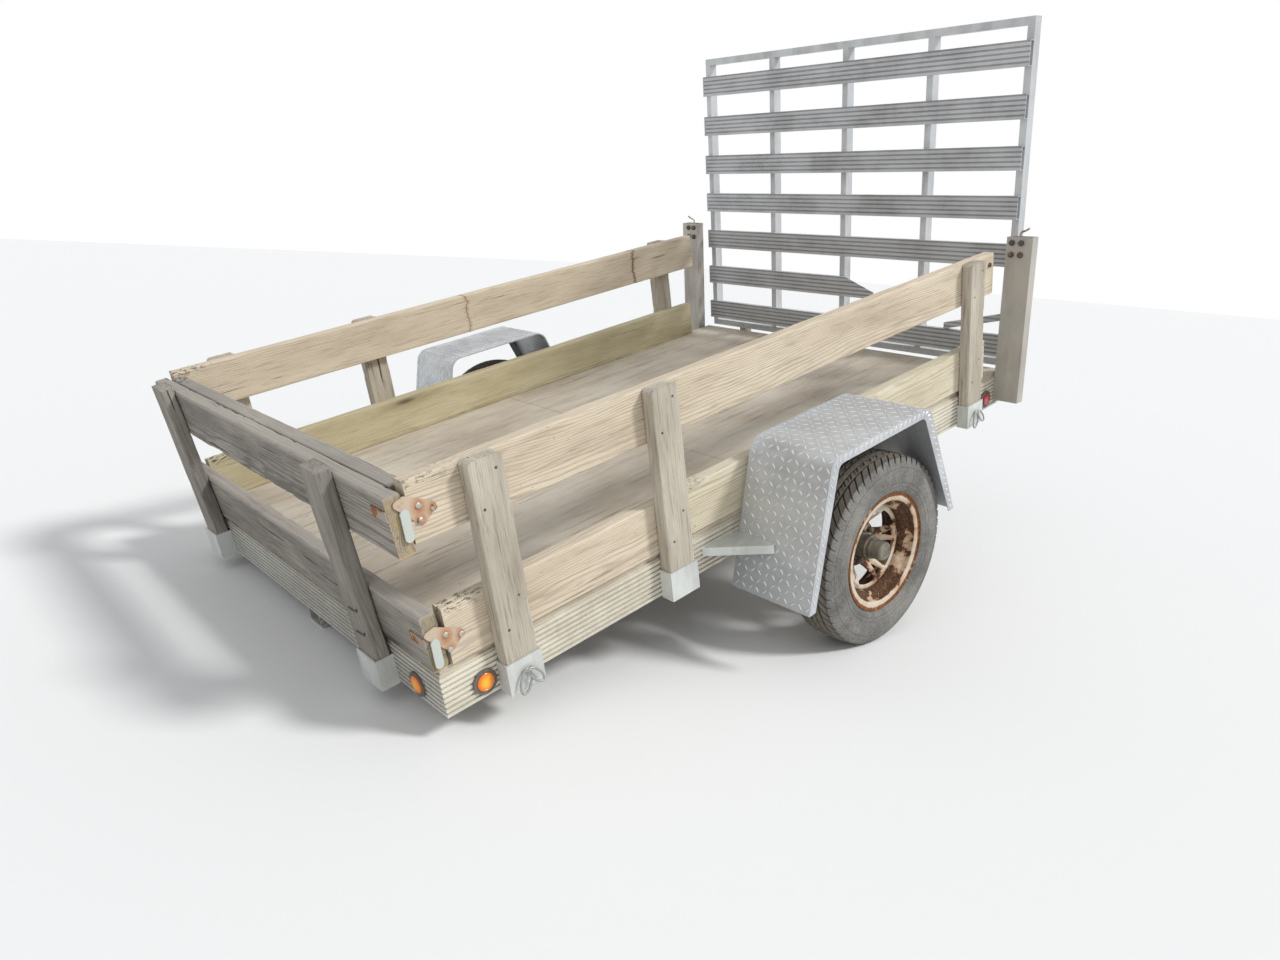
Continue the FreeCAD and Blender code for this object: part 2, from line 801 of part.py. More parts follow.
def tyre(side, sign):
    piece = new_body(f"tyre_{side}")
    flange = "rim_radius + rim_lip"
    bead = "rim_width / 2 - rim_wall"
    wall = "tyre_width / 2"
    face = (
        (bead, "rim_radius"), (bead, flange), (wall, "tyre_wall_low"), (wall, "tyre_wall_high"),
        ("tread_width / 2", "tyre_radius"),
    )
    revolve(piece, [face + mirrored(-1, face)])
    return piece


def rim(side, sign):
    """Flanged barrel, and in it a dished disc: pad, windowed spokes and outer ring."""
    piece = new_body(f"rim_{side}")
    flange = "rim_radius + rim_lip"
    bore = "rim_radius - rim_wall - seam_gap"
    half = (
        ("rim_width / 2", bore), ("rim_width / 2", flange), ("rim_width / 2 - rim_wall", flange),
        ("rim_width / 2 - rim_wall", "rim_radius - seam_gap"),
    )
    revolve(piece, [half + mirrored(-1, half)], "barrel")
    ring = span(sign, "ring_at", "ring_at + ring_thickness")
    pad(piece, "YZ", *ring, [("circle", "0", "0", f"{bore} + disc_weld"), ("circle", "0", "0", "ring_inner")], "ring")
    spoke = mirrored(sign, (
        ("-disc_inset", "hub_flange_radius - spoke_lap"), ("spoke_sheet - disc_inset", "hub_flange_radius - spoke_lap"),
        ("ring_at + ring_thickness", "ring_inner + spoke_lap"),
        ("ring_at + ring_thickness - spoke_sheet", "ring_inner + spoke_lap"),
    ))
    bar = pad(piece, "XY", "-spoke_width / 2", "spoke_width", [spoke], "spoke")
    window = (("window_inner", "0"), ("window_outer", "-window_width / 2"), ("window_outer", "window_width / 2"))
    hole = cut(piece, "YZ", *span(sign, "-disc_inset", "ring_at + ring_thickness"), [window], "window")
    repeat_about_axis(piece, [bar, hole], RIM_SPOKES)
    middle = span(sign, "-disc_inset", "disc_pad - disc_inset")
    opening = ("circle", "0", "0", "nose_radius + nose_play")
    pad(piece, "YZ", *middle, [("circle", "0", "0", "hub_flange_radius"), opening], "middle")
    return piece


def hub(side, sign):
    """Hub turning on the spindle: flange behind the disc, nose through it and a long grease cap."""
    piece = new_body(f"hub_{side}")
    face = "-disc_inset"
    back = f"{face} - hub_flange"
    inner = f"{face} - hub_back"
    bore = "spindle_radius + spindle_play"
    bottom = f"{face} + spindle_past + hub_wall"
    nose = f"{face} + nose_length"
    outer = f"{face} + cap_length"
    corners = (
        (inner, bore), (bottom, bore), (bottom, "0"), (outer, "0"), (outer, "cap_radius"),
        (nose, "cap_radius"), (nose, "nose_radius"), (face, "nose_radius"), (face, "hub_flange_radius"),
        (back, "hub_flange_radius"), (back, "hub_radius"), (inner, "hub_radius"),
    )
    revolve(piece, [mirrored(sign, corners)])
    return piece


axle()
torsion_arms()
for side, sign in SIDES:
    for make in (tyre, rim, hub):
        seat(make(side, sign), f"{sign} * ({TYRE_MIDDLE})", "axle_at", "-axle_drop", "-pitch")

# Fenders
FENDER_INNER = f"{HALF} + fender_gap"
FENDER_OUTER = f"{HALF} + wheel_clearance + tyre_width + fender_cover"
FENDER_TOP = "tyre_radius - axle_drop + fender_headroom"
TYRE_FRONT = "axle_at - tyre_radius"
TYRE_REAR = "axle_at + tyre_radius"
FENDER_SHOULDERS = (
    # foot along, foot height, top along, way in from the outer face
    (f"({TYRE_FRONT} - fender_front_foot_out)", "-fender_front_foot", f"({TYRE_FRONT} + fender_front_top_in)", 1),
    (f"({TYRE_REAR} + fender_rear_foot_out)", "-fender_rear_foot", f"({TYRE_REAR} - fender_rear_top_in)", -1),
)


def fender_band(depth):
    """Side view of a band of that depth inside the fender's outer face."""
    outer = []
    inner = []
    for foot, low, top, way in FENDER_SHOULDERS:
        skirt = [(foot, low), (top, FENDER_TOP, "fender_corner")]
        lining = [
            (f"{foot} + {way} * {depth}", low),
            (f"{top} + {way} * {depth}", f"{FENDER_TOP} - {depth}", f"fender_corner - {depth}"),
        ]
        outer += skirt if way > 0 else skirt[::-1]
        inner = lining[::-1] + inner if way > 0 else lining + inner
    return tuple(outer + inner)


def fender(side, sign):
    """Bent tread plate over the wheel, with a lip turned down along its outer edge."""
    piece = new_body(f"fender_{side}")
    pad(piece, "YZ", *span(sign, FENDER_INNER, FENDER_OUTER), [fender_band("fender_sheet")])
    pad(piece, "YZ", *span(sign, f"{FENDER_OUTER} - fender_sheet", FENDER_OUTER), [fender_band("fender_lip")], "lip")
    return seat(piece)


def skirt_at(foot, low, top, height):
    """Place along the trailer of a fender skirt's outer face at a height."""
    return f"({foot} + ({top} - {foot}) * ({height} - ({low})) / ({FENDER_TOP} - ({low})))"


def gusset_strip(skirt, way, near, far):
    """Part of a gusset between two distances out from the rail."""
    loop = []
    for distance in (near, far):
        reach = f"gusset_length * (1 - ({distance}) / gusset_reach)"
        loop.append((f"{HALF} + {distance}", f"{skirt} - {way} * {reach}"))
    return tuple(loop) + ((f"{HALF} + {far}", skirt), (f"{HALF} + {near}", skirt))


def fender_brackets():
    """Ribbed triangular gussets from the rails to both skirts of each fender."""
    piece = new_body("fender_brackets")
    for side, sign in SIDES:
        for foot, low, top, way in FENDER_SHOULDERS:
            skirt = skirt_at(foot, low, top, "-gusset_drop")
            triangle = ((HALF, f"{skirt} - {way} * gusset_length"), (f"{HALF} + gusset_reach", skirt), (HALF, skirt))
            ribs = []
            for number in range(GUSSET_RIBS):
                near = f"gusset_reach * {number} / {GUSSET_RIBS}"
                ribs.append(mirrored(sign, gusset_strip(skirt, way, near, f"({near} + gusset_rib_width)")))
            pad(piece, "XY", "-gusset_drop", "gusset_wall", [mirrored(sign, triangle)])
            pad(piece, "XY", "gusset_wall - gusset_drop", "gusset_rib", ribs, "ribs")
    return seat(piece)


for side, sign in SIDES:
    fender(side, sign)
fender_brackets()


# Lamps
LAMP_HEIGHT = "lamp_rise - rail_height"


def disc_on_side(piece, sign, along, near, depth, radius):
    pad(piece, "YZ", *span(sign, near, f"{near} + {depth}"), [("circle", along, LAMP_HEIGHT, radius)])


def lamps():
    """Round lenses in rubber rings on the side and front rails."""
    amber = new_body("lenses_amber")
    red = new_body("lenses_red")
    rings = new_body("lamp_grommets")
    lens_depth = "lamp_depth - grommet_depth"
    seat_plane = f"{HALF} + grommet_depth"
    rear = "frame_length - rear_lamp_back"
    for side, sign in SIDES:
        for lens, along in ((amber, "side_lamp_at"), (red, rear)):
            disc_on_side(rings, sign, along, HALF, "grommet_depth", "grommet_radius")
            disc_on_side(lens, sign, along, seat_plane, lens_depth, "lamp_radius")
        across = f"{sign} * ({HALF} - front_{side}_lamp_in)"
        pad(rings, "XZ", "-grommet_depth", "grommet_depth", [("circle", across, LAMP_HEIGHT, "grommet_radius")])
        pad(amber, "XZ", "-lamp_depth", lens_depth, [("circle", across, LAMP_HEIGHT, "lamp_radius")])
    for piece in (amber, red, rings):
        seat(piece)


# Corner latches
LATCH_PLATE = (
    # along and up from the first bolt, in millimetres
    (-56, 22),
    (-23, 30),
    (48, -10),
    (6, -48),
)
LATCH_TAB = (-40, -68, 4)


def corner_latches(side, sign):
    """Pear-shaped plates on the side boards' ends, each with an upright tab."""
    piece = new_body(f"latches_{side}")
    for bolt in ("latch_upper", "latch_lower"):
        plate = tuple((f"latch_at + ({along})", f"{bolt} + ({up})", "latch_corner") for along, up in LATCH_PLATE)
        left, low, high = LATCH_TAB
        near = f"latch_at + ({left})"
        tab = tuple((across, up, "latch_tab_corner") for across, up in rectangle(
            near, f"{bolt} + ({low})", f"{near} + latch_tab_width", f"{bolt} + ({high})"))
        pad(piece, "YZ", *span(sign, HALF, f"{HALF} + latch_plate"), [plate])
        pad(piece, "YZ", *span(sign, f"{HALF} + latch_plate", f"{HALF} + latch_plate + latch_tab"), [tab])
    return seat(piece)


def latch_hooks():
    """Straps of the corner latches on the front boards' outer faces."""
    piece = new_body("latch_hooks")
    loops = []
    for side, sign in SIDES:
        for bolt in ("latch_upper", "latch_lower"):
            middle = f"rail_height + {bolt}"
            outline = rectangle(f"{HALF} - latch_hook_length", f"{middle} - latch_hook_width / 2",
                                HALF, f"{middle} + latch_hook_width / 2")
            loops.append(mirrored(sign, outline))
    pad(piece, "XZ", "-latch_plate", "latch_plate", loops)
    return rack_piece(piece)


lamps()
for side, sign in SIDES:
    corner_latches(side, sign)
latch_hooks()


# The finished trailer stands with the middle of its length at the origin
def sub_parts():
    return [item for item in doc.Objects if item.TypeId == "PartDesign::Body"]


doc.recompute()
reach = FreeCAD.BoundBox()
for item in sub_parts():
    reach.add(item.Shape.BoundBox)
sheet.set(f"B{len(ALIASES)}", repr(-(reach.YMin + reach.YMax) / 2))
doc.recompute()

for item in doc.Objects:
    if "Invalid" in item.State or "Error" in item.State:
        raise ValueError(f"{item.Label} failed: {item.State}")
for item in sub_parts():
    if item.Shape.isNull() or not item.Shape.isValid():
        raise ValueError(f"{item.Label} has no valid shape")

os.makedirs("parts", exist_ok=True)
for item in sub_parts():
    item.Shape.exportStep(f"parts/{item.Label}.step")
    print(item.Label, len(item.Shape.Solids), round(item.Shape.Volume / 1000), "cm3")
turn = FreeCAD.Rotation(FreeCAD.Vector(1, 0, 0), value("pitch"))
base = FreeCAD.Vector(0, value("ground_y"), value("ground_z"))
for name, along, height in (("axle", "axle_at", "-axle_drop"), ("hinge", HINGE[1], HINGE[2]), ("datum", "0", "0")):
    print(name, base + turn.multVec(FreeCAD.Vector(0, value(along), value(height))))
print("pitch", round(value("pitch"), 3), "reach", reach)
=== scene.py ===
import json
import math

import bmesh
import bpy
import numpy as np
from mathutils import Matrix, Vector


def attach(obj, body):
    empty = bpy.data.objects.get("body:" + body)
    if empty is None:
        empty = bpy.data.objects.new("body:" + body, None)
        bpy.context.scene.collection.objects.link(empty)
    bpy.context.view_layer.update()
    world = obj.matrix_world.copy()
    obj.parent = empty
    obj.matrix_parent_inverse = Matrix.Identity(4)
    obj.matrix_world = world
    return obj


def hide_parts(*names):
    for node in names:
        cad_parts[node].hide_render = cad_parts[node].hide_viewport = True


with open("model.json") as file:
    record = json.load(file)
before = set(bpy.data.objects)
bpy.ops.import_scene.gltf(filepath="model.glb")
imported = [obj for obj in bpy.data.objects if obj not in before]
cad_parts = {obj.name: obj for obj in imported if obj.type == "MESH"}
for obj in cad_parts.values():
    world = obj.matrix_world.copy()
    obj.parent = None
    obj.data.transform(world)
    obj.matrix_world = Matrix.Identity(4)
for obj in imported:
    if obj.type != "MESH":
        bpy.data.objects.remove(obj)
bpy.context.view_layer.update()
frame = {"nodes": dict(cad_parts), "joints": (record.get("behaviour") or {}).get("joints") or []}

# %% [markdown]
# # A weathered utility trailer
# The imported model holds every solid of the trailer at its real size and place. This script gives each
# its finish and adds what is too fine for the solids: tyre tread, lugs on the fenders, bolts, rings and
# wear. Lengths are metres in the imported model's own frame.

NODES = frame["nodes"]
SIDES = (("left", 1), ("right", -1))

# %% [markdown]
# ## Frames of the trailer
# The trailer rests nose down, so it is easier to think of the level one: X to its left side, Y rearward
# from the front rail, Z up from the rails' top. The axle and the gate's hinge are known in both frames,
# and the angle between the two lines through them is the pitch. The front rack, the rear posts and the
# gate lean by a few degrees more, each about its own foot, and get frames too.

# %% Places
AXLE_LEVEL = Vector((0, 1.28, -0.177))
HINGE_LEVEL = Vector((0, 2.438, -0.02))
POST_FRONT = 2.334
RAIL_HEIGHT = 0.106
HALF_WIDTH = 0.75
FRAME_LENGTH = 2.4
RACK_LEAN = math.radians(3)
POST_LEAN = math.radians(5)
GATE_LEAN = math.radians(3.6)


class Place:
    """A frame that is turned about the X axis and then moved in the row's frame."""

    def __init__(self, origin, turn):
        self.origin = Vector(origin)
        self.turn = turn
        c, s = math.cos(turn), math.sin(turn)
        self.matrix = np.array([[1, 0, 0], [0, c, s], [0, -s, c]])

    def out(self, points):
        """This frame's points in the row: y' = y cos - z sin, z' = y sin + z cos, then all move."""
        return np.asarray(points, float) @ self.matrix + np.array(self.origin)

    def back(self, points):
        """The row's points in this frame: all move to its origin, then turn back."""
        return (points - np.array(self.origin)) @ self.matrix.T

    def at(self, x, y, z):
        return Vector(self.out((x, y, z)))


def joint_point(name):
    """The place of a joint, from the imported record."""
    return Vector([joint["pos_m"] for joint in frame["joints"] if joint["name"] == name][0])


axle_row = joint_point("wheel_left_spin")
hinge_row = joint_point("ramp_gate_fold")
line_level = HINGE_LEVEL - AXLE_LEVEL
line_row = hinge_row - axle_row
PITCH = math.atan2(line_row.z, line_row.y) - math.atan2(line_level.z, line_level.y)
TURN = Matrix.Rotation(PITCH, 3, "X")
datum = Vector((0, axle_row.y, axle_row.z)) - TURN @ AXLE_LEVEL
LEVEL = Place(datum, PITCH)
RACK = Place(LEVEL.at(0, 0, -RAIL_HEIGHT), PITCH + RACK_LEAN)
POSTS = Place(LEVEL.at(0, POST_FRONT, 0), PITCH - POST_LEAN)
GATE = Place((0, hinge_row.y, hinge_row.z), PITCH - GATE_LEAN)
WHEELS = {side: Place(joint_point(f"wheel_{side}_spin"), 0) for side, sign in SIDES}
print("pitch", round(math.degrees(PITCH), 2), "degrees; datum", [round(c, 4) for c in datum])

# %% Points of solids and lines
def corner_points(data):
    """A mesh's corner points as rows of x, y and z."""
    points = np.empty(len(data.vertices) * 3)
    data.vertices.foreach_get("co", points)
    return points.reshape(-1, 3)


def solid_points(node, place):
    """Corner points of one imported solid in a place's own frame."""
    return place.back(corner_points(NODES[node].data))


def unit(rows):
    """Each row over its own length."""
    return rows / np.linalg.norm(rows, axis=-1, keepdims=True)


def line_lengths(line):
    """How far along a line of points each point lies: the sum of the steps before it."""
    return np.concatenate([[0], np.cumsum(np.linalg.norm(np.diff(line, axis=0), axis=1))])


def line_points(at, lengths, line):
    """Points at given lengths along a line, straight between its own points."""
    return np.stack([np.interp(at, lengths, column) for column in line.T], -1)


def add_object(name, data):
    """A new object at the origin that shows in the scene."""
    made = bpy.data.objects.new(name, data)
    bpy.context.scene.collection.objects.link(made)
    return made


slat_crest = solid_points("gate_slats", GATE)[:, 1].min()
print("slats' front in the gate's frame:", round(slat_crest, 4))

# %% [markdown]
# ## Camera
# The photograph was taken from close by with a wide lens, a little above the front left corner. The
# camera's place and its axes were solved in the level frame, so they turn with the trailer.

# %% Camera
LENS = 25.7
SENSOR = 36
CAMERA_LEVEL = (2.324, -0.6786, 1.1166)
CAMERA_RIGHT = Vector((0.66835, 0.7358, -0.10915))
CAMERA_UP = Vector((-0.22865, 0.34286, 0.91114))


def add_camera():
    """Camera whose X is the picture's right and whose Y is the picture's up."""
    data = bpy.data.cameras.new("camera")
    data.lens = LENS
    data.sensor_width = SENSOR
    camera = add_object("camera", data)
    right = TURN @ CAMERA_RIGHT.normalized()
    back = right.cross(TURN @ CAMERA_UP.normalized()).normalized()
    pose = Matrix((right, back.cross(right), back)).transposed().to_4x4()
    pose.translation = LEVEL.at(*CAMERA_LEVEL)
    camera.matrix_world = pose
    bpy.context.scene.camera = camera
    return camera


camera = add_camera()
print("camera at", [round(c, 3) for c in camera.matrix_world.translation])

# %% [markdown]
# ## Writing materials as sums
# A node tree is a formula drawn as boxes. A small class that holds one socket and knows the arithmetic
# signs lets it be written as a formula: each sign adds its Math node. Colours are laid over one another
# by Mix nodes, and any other node comes from one method.

# %% Sockets that can be added and multiplied
def maths(operation, swapped=False):
    """A method of Wire that adds the Math node of one operation; swapped puts the wire second."""

    def method(self, other=0):
        first, second = (other, self) if swapped else (self, other)
        return self.nodes.add("Math", {0: first, 1: second}, operation=operation)

    return method


class Wire:
    """One output socket of a node tree; + - * / on it add Math nodes."""

    def __init__(self, nodes, socket):
        self.nodes = nodes
        self.socket = socket

    __add__ = __radd__ = maths("ADD")
    __mul__ = __rmul__ = maths("MULTIPLY")
    __sub__ = maths("SUBTRACT")
    __rsub__ = maths("SUBTRACT", swapped=True)
    __truediv__ = maths("DIVIDE")
    abs = maths("ABSOLUTE")
    root = maths("SQRT")
    least = maths("MINIMUM")
    most = maths("MAXIMUM")
    fraction = maths("FRACT")

    def wave(self, length):
        """Sawtooth from 0 to 1 over each length."""
        return (self / length).fraction()

    def step(self, low, high):
        """Smooth rise from 0 at low to 1 at high, or fall where low is the greater one."""
        inputs = {0: self, 1: min(low, high), 2: max(low, high), 3: 0, 4: 1}
        rise = self.nodes.add("MapRange", inputs, interpolation_type="SMOOTHSTEP")
        return rise if high > low else 1 - rise


class Nodes:
    """A node tree and the one method that adds any node to it."""

    def __init__(self, tree):
        self.tree = tree

    def feed(self, socket, value):
        if isinstance(value, Wire):
            self.tree.links.new(value.socket, socket)
        else:
            socket.default_value = value

    def add(self, kind, inputs, output=0, stops=(), **settings):
        """A node of any kind: its settings and colour stops, then its sockets' values or links."""
        node = self.tree.nodes.new("ShaderNode" + kind)
        for name, value in settings.items():
            setattr(node, name, value)
        for _ in stops[2:]:
            node.color_ramp.elements.new(0.5)
        for number, (position, colour) in enumerate(stops):
            element = node.color_ramp.elements[number]
            element.position = position
            element.color = (*colour, 1)
        for name, value in inputs.items():
            self.feed(node.inputs[name], value)
        return Wire(self, node.outputs[output])


class Finish(Nodes):
    """A material with its Principled shader, and the nodes that finishes are made of."""

    def __init__(self, name, roughness=0.6, metallic=0):
        self.material = bpy.data.materials.new(name)
        self.material.use_nodes = True
        super().__init__(self.material.node_tree)
        self.shader = self.tree.nodes["Principled BSDF"]
        self.shader.inputs["Roughness"].default_value = roughness
        self.shader.inputs["Metallic"].default_value = metallic

    def local(self, place):
        """The three coordinates of a place's own frame, in metres."""
        seen = self.add("TexCoord", {}, "Object")
        inputs = {"Vector": seen, "Location": place.origin, "Rotation": (place.turn, 0, 0)}
        moved = self.add("Mapping", inputs, vector_type="TEXTURE")
        return [self.add("SeparateXYZ", {0: moved}, i) for i in range(3)]

    def vector(self, *axes):
        return self.add("CombineXYZ", dict(enumerate(axes)))

    def point(self, place):
        return self.vector(*self.local(place))

    def share(self):
        """The number that a mesh carries for every point."""
        return self.add("Attribute", {}, 2, attribute_name="share")

    def noise(self, vector, scale, detail, rough, warp=0):
        inputs = {"Vector": vector, "Scale": scale, "Detail": detail, "Roughness": rough, "Distortion": warp}
        return self.add("TexNoise", inputs)

    def stretched(self, axes, scales, detail, rough, warp=0):
        """Noise over three coordinates, each times its own scale."""
        return self.noise(self.vector(*[a * s for a, s in zip(axes, scales)]), 1, detail, rough, warp)

    def cells(self, vector, output):
        return self.add("TexVoronoi", {"Vector": vector, "Scale": 1}, output)

    def ramp(self, factor, *stops):
        return self.add("ValToRGB", {0: factor}, stops=stops)

    def mix(self, factor, first, second):
        first, second = [(*c, 1) if isinstance(c, tuple) else c for c in (first, second)]
        return self.add("Mix", {0: factor, 6: first, 7: second}, 2, data_type="RGBA")

    def coats(self, tone, *layers):
        """Layers of (share, colour) over a tone, each mixed over those before it."""
        for share, colour in layers:
            tone = self.mix(share, tone, colour)
        return tone

    def done(self, relief=None, **sockets):
        """Feeds the shader; relief is a height, its strength and the distance that 1 stands for."""
        if relief:
            sockets["normal"] = self.add("Bump", dict(zip(("Height", "Strength", "Distance"), relief)))
        for name, value in sockets.items():
            self.feed(self.shader.inputs[name.replace("_", " ").title()], value)
        return self.material


def dress(material, *nodes):
    """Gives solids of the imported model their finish."""
    for name in nodes:
        data = NODES[name].data
        data.materials.clear()
        data.materials.append(material)


print("finish helpers ready")

# %% [markdown]
# ## Weathered timber
# A sawn plank is a slice through rings, so the pattern is solid: the distance from a pith line beside
# the plank, bent a little by noise that is long along the grain, gives the ring number at any point.
# Faces then show long arches, and sawn ends show the rings. Sun and rain turn the surface grey, wash out
# the soft wood between the hard rings and open cracks along the grain.

# %% Timber
RING_WIDTH = 0.0052
CRACK_DARK = (0.035, 0.028, 0.022)
MOULD = (0.045, 0.036, 0.028)
FRESH_WOOD = (0.5, 0.37, 0.17)
BREAK_EDGE = (0.33, 0.17, 0.08)
BREAK_GAP = (0.03, 0.022, 0.016)


def timber(name, place, order, pith, look, wear, mark, end, top, breaks):
    """Planks whose grain follows one axis of a place; order gives its along, up and through axes.

    Wear opens cracks and deepens the relief, and mark is how dark the hard rings are. A board's upper
    edge, at height top, bleaches; mould sits on it near the board's end. Breaks are jagged cracks across
    the grain: where along the board, and how dark.
    """
    finish = Finish(name, roughness=0.85)
    axes = finish.local(place)
    grain = along, up, through = [axes[i] for i in order]
    bend = finish.stretched(grain, (1.1, 5, 5), 3, 0.5)
    bend_more = finish.stretched(grain, (3, 18, 18), 4, 0.6)
    high = up - pith[0] + (bend - 0.5) * 0.055
    deep = through - pith[1] + (bend - 0.5) * 0.04
    radius = (high * high + deep * deep).root() + (bend_more - 0.5) * 0.007 + along * 0.004
    rings = radius.wave(RING_WIDTH)
    late = (rings * (1 - rings) * 4).step(0.85, 0.15)
    fibre = finish.stretched(grain, (6, 420, 420), 3, 0.6)
    cracks = finish.stretched(grain, (2.2, 75, 75), 5, 0.62, 0.3)
    crack = cracks.step(0.665 - 0.03 * wear, 0.72 - 0.03 * wear)
    streaks = finish.stretched(grain, (8, 170, 170), 4, 0.65, 0.2)
    specks = finish.stretched(grain, (60, 150, 150), 3, 0.6).step(0.69, 0.75)
    blotch = finish.stretched(grain, (2.4, 9, 9), 5, 0.6)
    knot_cells = finish.vector(along * 2.2 + pith[1] * 10, up * 9, through * 9)
    knot_far = finish.cells(knot_cells, "Distance")
    knot_pick = finish.cells(knot_cells, "Color")
    rare = finish.add("SeparateColor", {0: knot_pick}).step(0.8, 0.84)
    knot = knot_far.step(0.16, 0.09) * rare
    light, mid, dark, stain = look
    tone = finish.coats(
        finish.ramp(blotch, (0.25, stain), (0.45, mid), (0.68, light)),
        (late * mark * (0.4 + 1.2 * blotch), dark),
        (streaks.step(0.48, 0.72) * (0.34 + 0.28 * wear), dark),
        ((fibre - 0.5).abs() * 0.65, dark),
        (specks * 0.55, (0.07, 0.055, 0.04)),
        (knot_far.step(0.34, 0.12) * rare * 0.45, dark),
        (knot * 0.85, (0.045, 0.028, 0.016)),
        (crack * (0.45 + 0.5 * wear), CRACK_DARK),
    )
    if place is RACK and order == ALONG_X:
        tone = finish.mix(along.abs().step(HALF_WIDTH - 0.003, HALF_WIDTH) * 0.7, tone, FRESH_WOOD)
    if top:
        mould = finish.stretched(grain, (75, 160, 110), 4, 0.65).step(0.52, 0.57)
        mould = mould * (along - end).step(0.19, 0.03) * up.step(top - 0.03, top - 0.004)
        bleach = up.step(top - 0.014, top - 0.001) * 0.55 * wear
        tone = finish.coats(tone, (bleach, light), (mould * blotch.step(0.4, 0.56) * 0.85, MOULD))
    for where, depth in breaks:
        jag = finish.stretched((up, through, along), (38, 38, 4), 3, 0.6)
        gap = (along - where + (jag - 0.5) * 0.06).abs()
        edge = gap.step(0.016, 0.002) * depth * 0.55
        tone = finish.coats(tone, (edge, BREAK_EDGE), (gap.step(0.0034, 0.0014) * depth, BREAK_GAP))
    height = 0.5 + late * 0.6 * mark - crack * 0.8 + (fibre - 0.5) * 0.35 - streaks * 0.35 + knot * 0.2
    return finish.done((height, 0.55 + 0.4 * wear, 0.0011), base_color=tone)


# Each look: sunlit wood, its middle tone, the dark of rings and cracks, and the stain in its blotches.
# The grey look is weathered grey wood made darker still as painted shade on the front rack's boards and
# stakes.
GREY_AND_PAINTED_SHADE = ((0.42, 0.38, 0.33), (0.25, 0.23, 0.2), (0.08, 0.068, 0.058), (0.155, 0.14, 0.12))
SILVER = ((0.6, 0.545, 0.45), (0.45, 0.4, 0.32), (0.14, 0.115, 0.09), (0.29, 0.25, 0.195))
TAN = ((0.75, 0.65, 0.5), (0.64, 0.54, 0.405), (0.23, 0.175, 0.12), (0.47, 0.39, 0.285))
PALE = ((0.77, 0.7, 0.55), (0.66, 0.585, 0.43), (0.26, 0.215, 0.145), (0.5, 0.445, 0.32))
GREEN = ((0.64, 0.57, 0.39), (0.5, 0.435, 0.27), (0.24, 0.2, 0.11), (0.36, 0.31, 0.18))

# Axes along, up and through; a flat upright has its broad face towards Y.
ALONG_Y = (1, 2, 0)
ALONG_X = (0, 2, 1)
ALONG_Z = (2, 1, 0)
FLAT_UPRIGHT = (2, 0, 1)
PLANKS = (
    # node, place, axes along, up and through, pith up and through, look, wear, ring mark
    ("board_left_upper", LEVEL, ALONG_Y, (0.3, 0.66), TAN, 0.45, 0.38),
    ("board_right_upper", LEVEL, ALONG_Y, (0.47, -0.69), TAN, 0.5, 0.34),
    ("board_left_lower_front", LEVEL, ALONG_Y, (0.05, 0.7), TAN, 0.4, 0.36),
    ("board_left_lower_rear", LEVEL, ALONG_Y, (0.15, 0.68), PALE, 0.3, 0.36),
    ("board_right_lower", LEVEL, ALONG_Y, (0.02, -0.68), GREEN, 0.35, 0.34),
    ("board_front_upper", RACK, ALONG_X, (0.43, 0.09), GREY_AND_PAINTED_SHADE, 1.3, 0.55),
    ("board_front_doubler", RACK, ALONG_X, (0.45, 0.13), GREY_AND_PAINTED_SHADE, 0.8, 0.4),
    ("board_front_lower", RACK, ALONG_X, (0.15, 0.07), GREY_AND_PAINTED_SHADE, 1.5, 0.3),
    ("stakes_left", LEVEL, ALONG_Z, (1.2, 0.9), SILVER, 0.9, 0.12),
    ("stakes_right", LEVEL, ALONG_Z, (0.4, -0.9), SILVER, 0.9, 0.14),
    ("stakes_front", RACK, FLAT_UPRIGHT, (0.3, -0.12), GREY_AND_PAINTED_SHADE, 1, 0.25),
)
BREAKS = {"board_right_upper": ((1.932, 0.9), (1.083, 0.5))}
WOOD = {}
for node, place, order, pith, look, wear, mark in PLANKS:
    points = solid_points(node, place)
    end = points[:, order[0]].min()
    top = 0 if node.startswith("stakes") else points[:, 2].max()
    breaks = BREAKS.get(node, ())
    WOOD[node] = timber(f"wood_{node}", place, order, pith, look, wear, mark, end, top, breaks)
print("timber finishes:", len(WOOD))

# %% [markdown]
# ## Plywood deck
# The deck's face veneer has lain in the sun for years. It is grey tan, with long fine checks along the
# trailer, dark damp stains, and brown specks of leaf dirt. Noises that are stretched along the trailer
# make the checks and the grain, and two wide ones make the clouds and the stains.

# %% Deck
def deck_finish():
    finish = Finish("worn_plywood", roughness=0.88)
    axes = x, y, z = finish.local(LEVEL)
    crack = finish.stretched(axes, (90, 2.2, 90), 5, 0.65, 0.4).step(0.6, 0.68)
    grain = finish.stretched(axes, (42, 3.4, 42), 5, 0.7, 0.3).step(0.5, 0.68)
    fibre = finish.stretched(axes, (320, 7, 60), 3, 0.6)
    cloud = finish.stretched(axes, (2.6, 1.6, 1), 6, 0.6)
    damp = finish.noise(finish.vector(x * 1.3 + 4, y * 0.9, z), 1, 5, 0.65, 0.6).step(0.54, 0.7)
    specks = finish.stretched(axes, (26, 26, 1), 3, 0.7).step(0.7, 0.76)
    veneer = (0.3, (0.38, 0.315, 0.24)), (0.48, (0.54, 0.475, 0.385)), (0.66, (0.66, 0.6, 0.5))
    tone = finish.coats(
        finish.ramp(cloud, *veneer),
        (damp * 0.45, (0.25, 0.19, 0.13)),
        (grain * 0.38, (0.25, 0.2, 0.145)),
        ((fibre - 0.5).abs() * 0.6, (0.22, 0.175, 0.125)),
        (crack * 0.7, (0.07, 0.05, 0.035)),
        (specks * 0.7, (0.06, 0.04, 0.028)),
    )
    height = 0.6 - crack * 0.7 + (fibre - 0.5) * 0.3 + (cloud - 0.5) * 0.2
    return finish.done((height, 0.7, 0.001), base_color=tone)


dress(deck_finish(), "deck")
print("deck dressed")

